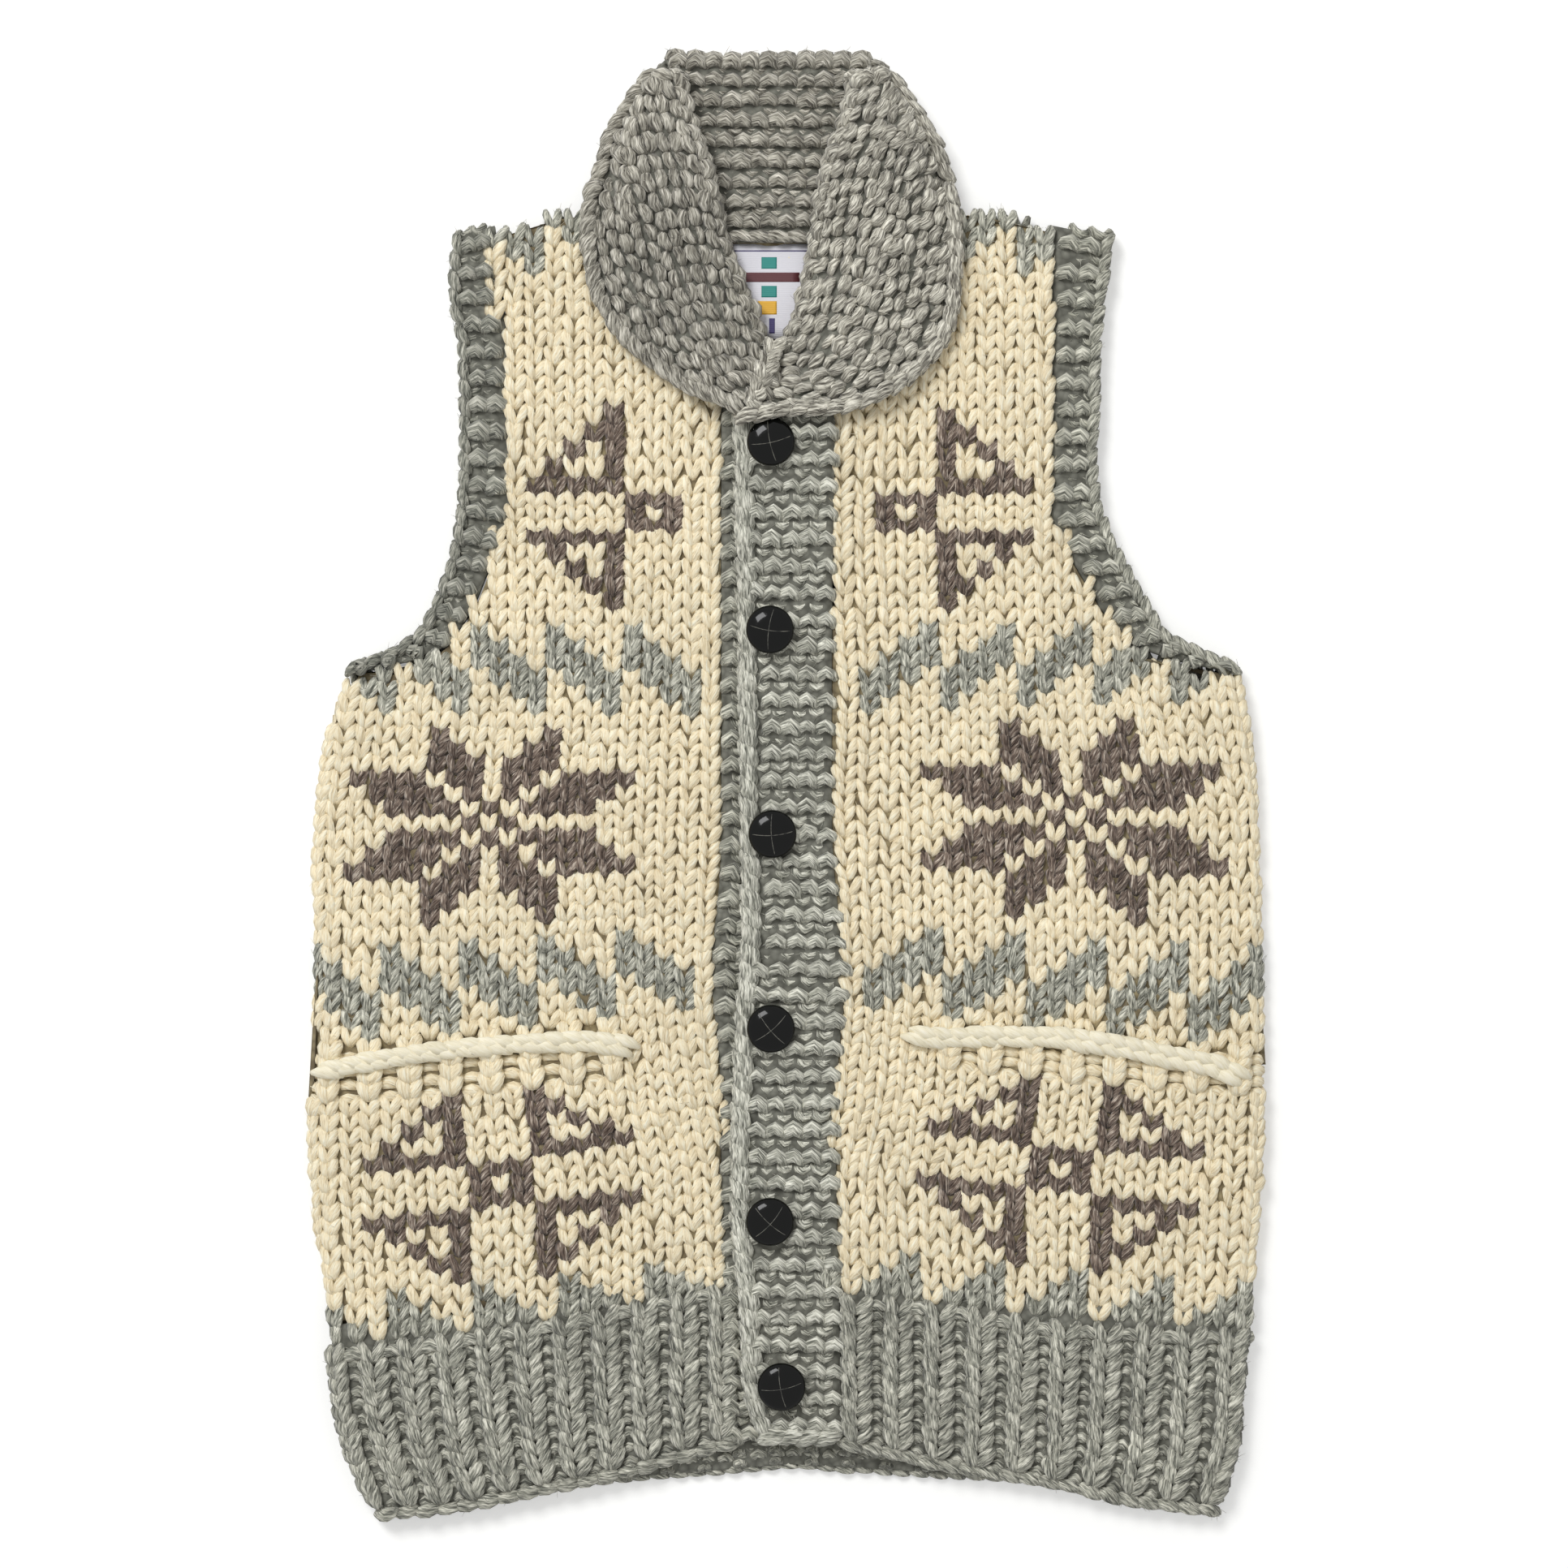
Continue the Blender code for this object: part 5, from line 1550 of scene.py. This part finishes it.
def knit_inside():
    """Purl stitches on the inside of the back, where it shows between the collar's rolls."""
    skein = Skein()
    column, row = every(np.arange(-5, 5), np.arange(14))
    at = np.stack([CENTRE_X + column * INSIDE_WIDE, INSIDE_FOOT + row * INSIDE_HIGH,
                   np.full(len(row), CLOTH - 2.0)], axis=1)
    ways = ([INSIDE_WIDE, 0, 0], [0, INSIDE_HIGH, 0], UP)
    places = Places(at, *(np.tile(way, (len(row), 1)) for way in ways))
    places = chosen(places, at[:, 1] < high_at(BACK_TOP_LINE, at[:, 0]) - 3)
    lay_stitches(skein, places, ARCH, plump=0.9)
    return skein.piece("back_inside_stitches", CREAM)


def back_ground():
    """The thin layer of cloth over the back's stitches."""
    parts = np.linspace(-1, 1, 70)
    grid = []
    for row in np.arange(0, ROWS + 0.1, 1.0):
        across = parts * 240.0
        for _ in range(3):        # the row's height and its width depend on each other
            y = np.minimum(back_height(across, np.full(70, row)), high_at(BACK_TOP_LINE, across) - 1.0)
            wide = back_wide(parts, y)
            across = parts * (np.where(y < UNDERARM, wide + CLOTH * ROUND_FOLD, wide) - 1.0)
        grid.append(back_point(across, y, 4.6))
    grid = np.array(grid)
    return layer("back_cloth", grid, -facing(grid, DOWN), 1.8, CREAM_SHADED_GROUND)


stitches = knit_back() + [knit_inside()]
cloth = back_ground()
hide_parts("back_panel")
low, high = box_mm("back_panel")

# %% Knit the back's ribbed hem
BACK_RIBS = 49          # columns, counted with the valleys

# Top of the rib and the hem, from the right side (0) to the left one (1).
BackLine = namedtuple("BackLine", "part top hem")
BACK_LINES = [
    BackLine(0.00, -303.0, -379.0),
    BackLine(0.25, -295.0, -369.0),
    BackLine(0.50, -290.0, -359.5),
    BackLine(0.75, -292.0, -367.0),
    BackLine(1.00, -294.0, -377.0),
]


def back_rib_point(part, down, lie):
    """A point on the back's rib, at a part of its width and a part of the way down."""
    top, hem = (read_table(BACK_LINES, part, name) for name in ("top", "hem"))
    y = top + (hem - top) * down
    low, high = low_at(BACK, y), high_at(BACK, y)
    extra = CLOTH * ROUND_FOLD
    return back_point(low - extra + (high - low + 2 * extra) * part, y, lie)


def knit_back_rib():
    """The back's ribbing, seen on its inside where the fronts part at the hem."""
    skein = Skein()
    lay_ribbing(skein, lambda part, down: back_rib_point(part, down * 0.97, BACK_LIE + 0.9), BACK_RIBS, -1,
                LEG_HIDDEN, SIDES_HIDDEN)
    parts = np.linspace(0, 1, 120)
    edge = back_rib_point(parts, np.full(120, 0.965), 3.0)
    lay_chain(skein, edge, UP, pitch=9.8, stretch=1.1, lean=8, plump=1.0)

    def inside(columns, rows):
        found = back_rib_point(0.3 + columns / 21 * 0.4, 1 - rows / RIB_ROWS, 3.0)      # the middle part
        found[..., 2] = CLOTH - 2.2
        return found

    lay_garter(skein, inside, np.arange(21), np.arange(1, 4), plump=0.85, sunk=0.8)
    stitches = skein.piece("back_hem_stitches", HEM_GREY)
    grid = np.array([back_rib_point(np.linspace(0, 1, 80), down, 4.8) for down in np.linspace(0, 0.955, 12)])
    made = layer("back_hem_cloth", grid, -facing(grid, DOWN), 1.2, GREY_SHADED_GROUND)
    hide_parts("back_hem_rib")


knit_back_rib()

# %% [markdown]
# ## Pocket edges
#
# Each pocket opens along its top.  Its edge is bound off with the light yarn rolled into a cord, which
# stands proud of the cloth.

# %% Lay the pocket cords
CORD = wool("undyed_light_wool", [(0.3, "DFD5B6"), (0.5, "F2EAD0"), (0.72, "FBF6E6")],
            patchy=0.03, odd=0.04, sheen=0.15, relief_mm=0.35)
CORD_LIFT = 3.2         # the middle of the cord lies this far above the front


def lay_cord(side):
    """The rolled cord along a pocket's opening: two strands of long grains twisted together."""
    name = f"pocket_edge_{side}"
    found = outline([name], along=0, across=1)
    x = np.linspace(found.at[0] + 1, found.at[-1] - 1, 40)
    y = np.interp(x, found.at, (found.low + found.high) / 2)
    line = front_point(side, np.abs(x - front_edges(side, y)[0]), y, sink=-CORD_LIFT)
    skein = Skein()
    lay_chain(skein, line + [0, 2.2, 0], UP, pitch=9.0, stretch=1.9, lean=11, plump=1.25)
    lay_chain(skein, line - [4.5, 1.6, 0.4], UP, pitch=9.0, stretch=1.9, lean=13, plump=1.25)
    made = skein.piece(f"pocket_{side}_cord", CORD)
    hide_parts(name)


for side in SIDES:
    lay_cord(side)

# %% [markdown]
# ## Neck label
#
# A small woven label is sewn inside the neck.  It is satin-woven polyester: fine threads, a slight shine
# and plain coloured blocks where the pattern threads come to the front.

# %% Make the label
THREAD_WIDE = 2.2       # one rib of the weave, coarser than a real one so that it shows


def woven(name, colour):
    """Fine woven thread, with ribs across and a slight shine."""
    material, tree, shader = new_material(name, roughness=0.5)
    shader.inputs["Base Color"].default_value = linear(colour)
    place = add_node(tree, "ShaderNodeTexCoord").outputs["Object"]
    ribs = {"Vector": place, "Scale": 1 / (THREAD_WIDE * MM), "Distortion": 0.6, "Detail": 1.0}
    threads = add_node(tree, "ShaderNodeTexWave", ribs, bands_direction="Y").outputs["Fac"]
    bump = add_node(tree, "ShaderNodeBump", {"Height": threads, "Distance": 0.08 * MM})
    tree.links.new(bump.outputs["Normal"], shader.inputs["Normal"])
    return material


LABEL_WHITE = woven("white_satin_weave", "E2E1E8")
LABEL_COLOURS = {
    "teal": woven("teal_woven_thread", "2C8C84"),
    "maroon": woven("maroon_woven_thread", "5A2A30"),
    "yellow": woven("yellow_woven_thread", "E8B33A"),
    "purple": woven("purple_woven_thread", "3D3468"),
}


def patch(name, low, high, top, thick, material):
    """A thin flat patch of the label, between two corners and under a height."""
    x, y = np.meshgrid(np.linspace(low[0], high[0], 9), np.linspace(low[1], high[1], 9))
    grid = np.stack([x, y, np.full_like(x, top)], axis=-1)
    return layer(name, grid, DOWN, thick, material)


low, high = box_mm("neck_label")
middle = (low + high) / 2
label = patch("neck_label_cloth", low, high, high[2], 0.8, LABEL_WHITE)
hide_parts("neck_label")

# %% The label's coloured blocks
# Sides of each block, from the middle of the label.
Block = namedtuple("Block", "colour left right low high")
BLOCKS = [
    Block("purple", -20.0, 20.0, 21.0, 21.6),
    Block("teal", -4.0, 4.0, 12.0, 18.0),
    Block("maroon", -16.0, 16.0, 5.0, 10.0),
    Block("teal", -4.0, 4.0, -3.0, 3.0),
    Block("yellow", -6.0, 4.0, -12.0, -5.0),
    Block("purple", 0.0, 3.0, -22.0, -14.0),
]
for number, block in enumerate(BLOCKS, 1):
    first, last = middle[:2] + (block.left, block.low), middle[:2] + (block.right, block.high)
    patch(f"neck_label_block_{number}", first, last, high[2] + 0.12, 0.2,
                        LABEL_COLOURS[block.colour])

# %% [markdown]
# ## Buttons
#
# The buttons are moulded to look like covered leather: a black glossy dome with two fine lines across it,
# where the black has worn grey.  The dome is turned like a bowl.  The lines are laid on it as thin raised
# edges, each a little bent, and every button is sewn on turned a different way.

# %% Materials of the buttons
PORE_WIDE = 1.6         # size of the leather grain's pores, coarser than real ones so that they show
WEAR_WIDE = 2.5         # size of the worn spots along a line


def glossy_black():
    """Moulded black plastic with a leather grain: dark, glossy, with a faint uneven surface."""
    material, tree, shader = new_material("moulded_black_plastic", roughness=0.16)
    shader.inputs["Base Color"].default_value = linear("070807")
    shader.inputs["Specular IOR Level"].default_value = 0.04
    shader.inputs["Coat Weight"].default_value = 0.28
    shader.inputs["Coat Roughness"].default_value = 0.05
    place = add_node(tree, "ShaderNodeTexCoord").outputs["Object"]
    pores = {"Vector": place, "Scale": 1 / (PORE_WIDE * MM), "Detail": 3.0}
    grain = add_node(tree, "ShaderNodeTexNoise", pores).outputs["Fac"]
    bump = add_node(tree, "ShaderNodeBump", {"Height": grain, "Distance": 0.06 * MM})
    tree.links.new(bump.outputs["Normal"], shader.inputs["Normal"])
    return material


def worn_edge():
    """The pressed lines, where the black has worn to a dull grey."""
    material, tree, shader = new_material("worn_grey_line", roughness=0.6)
    place = add_node(tree, "ShaderNodeTexCoord").outputs["Object"]
    spots = {"Vector": place, "Scale": 1 / (WEAR_WIDE * MM), "Detail": 3.0}
    wear = add_node(tree, "ShaderNodeTexNoise", spots).outputs["Fac"]
    greys = add_node(tree, "ShaderNodeValToRGB", {"Fac": wear}, [(0.35, "2A2A27"), (0.65, "77756C")])
    tree.links.new(greys.outputs["Color"], shader.inputs["Base Color"])
    return material


BUTTON_BLACK = glossy_black()
SEAM_GREY = worn_edge()

# %% The shape of a button
# Radius and height of the rings up a button's side, from its foot.
PROFILE = [(8.5, 0.0), (11.4, 0.5), (12.3, 1.6), (12.5, 2.8), (12.2, 4.0), (11.3, 4.9), (10.2, 5.5)]
DOME_WIDE, DOME_HIGH = PROFILE[-1]
MIDDLE_HIGH = 7.0
SECTORS = 64            # corners round a ring
LINE_HALF, LINE_DEEP = 0.2, 0.12


def dome(radius):
    """Height of a button's top at a distance from its middle: nearly flat, then rounding off."""
    return MIDDLE_HIGH - 1.5 * (radius / DOME_WIDE) ** 3


def button_mesh(centre, foot):
    """Points and faces of a button, turned like a bowl from its foot to the middle of its dome."""
    rings = PROFILE + [(radius, dome(radius)) for radius in np.linspace(9.6, 0.5, 17)]
    angles = 2 * math.pi * np.arange(SECTORS) / SECTORS
    points = []
    for radius, height in rings:
        x, y = radius * np.cos(angles), radius * np.sin(angles)
        points.append(np.stack([centre[0] + x, centre[1] + y, np.full(SECTORS, foot + height)], axis=1))
    points.append([[centre[0], centre[1], foot + dome(0.0)]])
    faces = []
    for ring in range(len(rings) - 1):
        below, above = ring * SECTORS, (ring + 1) * SECTORS
        for k in range(SECTORS):
            after = (k + 1) % SECTORS
            faces.append((below + k, below + after, above + after, above + k))
    last, top = (len(rings) - 1) * SECTORS, len(rings) * SECTORS
    faces += [(last + k, last + (k + 1) % SECTORS, top) for k in range(SECTORS)]
    faces.append(tuple(range(SECTORS))[::-1])
    return np.concatenate(points), faces


def button_lines(centre, foot, turn):
    """The two thin raised lines that cross on a button, each a little bent."""
    lines = []
    for way, bend in ((0.0, 0.012), (90.0, -0.01)):
        run = np.linspace(-10.4, 10.4, 27)
        aside = bend * (run ** 2 - 60.0)
        lean = math.radians(turn + way)
        x, y = run * math.cos(lean) - aside * math.sin(lean), run * math.sin(lean) + aside * math.cos(lean)
        radius = np.hypot(x, y)
        height = np.where(radius < DOME_WIDE, dome(radius), DOME_HIGH - (radius - DOME_WIDE) * 0.55)
        lines.append(np.stack([centre[0] + x, centre[1] + y, foot + height - 0.02], axis=1))
    return np.array(lines)


# %% Make the buttons
CROSS_TURNS = [12.0, -8.0, 4.0, 40.0, 48.0, 10.0]       # how far each button's lines are turned, in degrees


def make_button(number, turn):
    """A domed button with two lines across it."""
    low, high = box_mm(f"button_{number}")
    centre = (low + high) / 2
    points, faces = button_mesh(centre, low[2])
    made = mesh_piece(f"button_{number}_dome", points, faces, BUTTON_BLACK)
    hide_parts(f"button_{number}")
    seams = Skein()
    seams.lay(button_lines(centre, low[2], turn), np.tile(UP, (2, 1)), LINE_HALF, LINE_DEEP, corners=4)
    seams.piece(f"button_{number}_lines", SEAM_GREY)


for number, turn in enumerate(CROSS_TURNS, 1):
    make_button(number, turn)

# %% [markdown]
# ## Floor, light and camera
#
# The vest lies on a plain white floor and is seen from straight above, so the camera looks down the Z axis.
# A large soft lamp at the upper left shows the relief of the stitches, and the white surroundings fill in.

# %% Floor
FLOOR_DROP = 0.0004    # the floor lies this far under the vest, so that the two never share a face


def seen_rays(tree):
    """One for rays from the camera, off glossy surfaces and through clear ones, and nothing for the rest."""
    rays = add_node(tree, "ShaderNodeLightPath")
    seen = rays.outputs["Is Camera Ray"]
    for kind in ("Is Glossy Ray", "Is Transmission Ray"):
        either = add_node(tree, "ShaderNodeMath", {0: seen, 1: rays.outputs[kind]}, operation="MAXIMUM")
        seen = either.outputs["Value"]
    return seen


def make_floor():
    """A large white floor just under the vest, that stays white to the camera and still takes its shadow."""
    material, tree, shader = new_material("matt_white_table", roughness=0.8)
    shader.inputs["Base Color"].default_value = linear("E6E6E4")
    glow = add_node(tree, "ShaderNodeMath", {0: seen_rays(tree), 1: 0.32}, operation="MULTIPLY")
    shader.inputs["Emission Color"].default_value = (1, 1, 1, 1)
    tree.links.new(glow.outputs["Value"], shader.inputs["Emission Strength"])
    mesh = bpy.data.meshes.new("table")
    half = 6.0
    corners = [(-half, -half), (half, -half), (half, half), (-half, half)]
    mesh.from_pydata([(x, y, -FLOOR_DROP) for x, y in corners], [], [(0, 1, 2, 3)])
    mesh.materials.append(material)
    floor = bpy.data.objects.new("table", mesh)
    bpy.context.scene.collection.objects.link(floor)


make_floor()

# %% Lamps, world and camera
VIEW_WIDE = 0.825      # width of the view at the vest, in metres
CAMERA_HIGH = 2.2      # height of the camera over it
scene = bpy.context.scene


def make_lamp(name, place, size, power):
    """A soft square lamp that looks at the middle of the vest."""
    data = bpy.data.lights.new(name, "AREA")
    data.shape, data.size, data.energy = "SQUARE", size, power
    lamp = bpy.data.objects.new(name, data)
    lamp.location = place
    lamp.rotation_euler = (-lamp.location).to_track_quat("-Z", "Y").to_euler()
    scene.collection.objects.link(lamp)


make_lamp("window", (-1.3, 1.9, 3.2), 1.3, 82.0)

world = bpy.data.worlds.new("white_room")
world.use_nodes = True
shade = world.node_tree.nodes["Background"]
shade.inputs["Color"].default_value = (1, 1, 1, 1)
strength = add_node(world.node_tree, "ShaderNodeMapRange",
                    {"Value": seen_rays(world.node_tree), "To Min": 0.56, "To Max": 1.0})
world.node_tree.links.new(strength.outputs["Result"], shade.inputs["Strength"])
scene.world = world

camera = bpy.data.objects.new("camera", bpy.data.cameras.new("camera"))
camera.location = (-0.0017, 0.0004, CAMERA_HIGH)
camera.data.sensor_width = 36.0
camera.data.lens = camera.data.sensor_width * CAMERA_HIGH / VIEW_WIDE
scene.collection.objects.link(camera)
scene.camera = camera
scene.view_settings.view_transform = "Standard"
print(f"the view is {VIEW_WIDE} m wide, from {CAMERA_HIGH} m above")
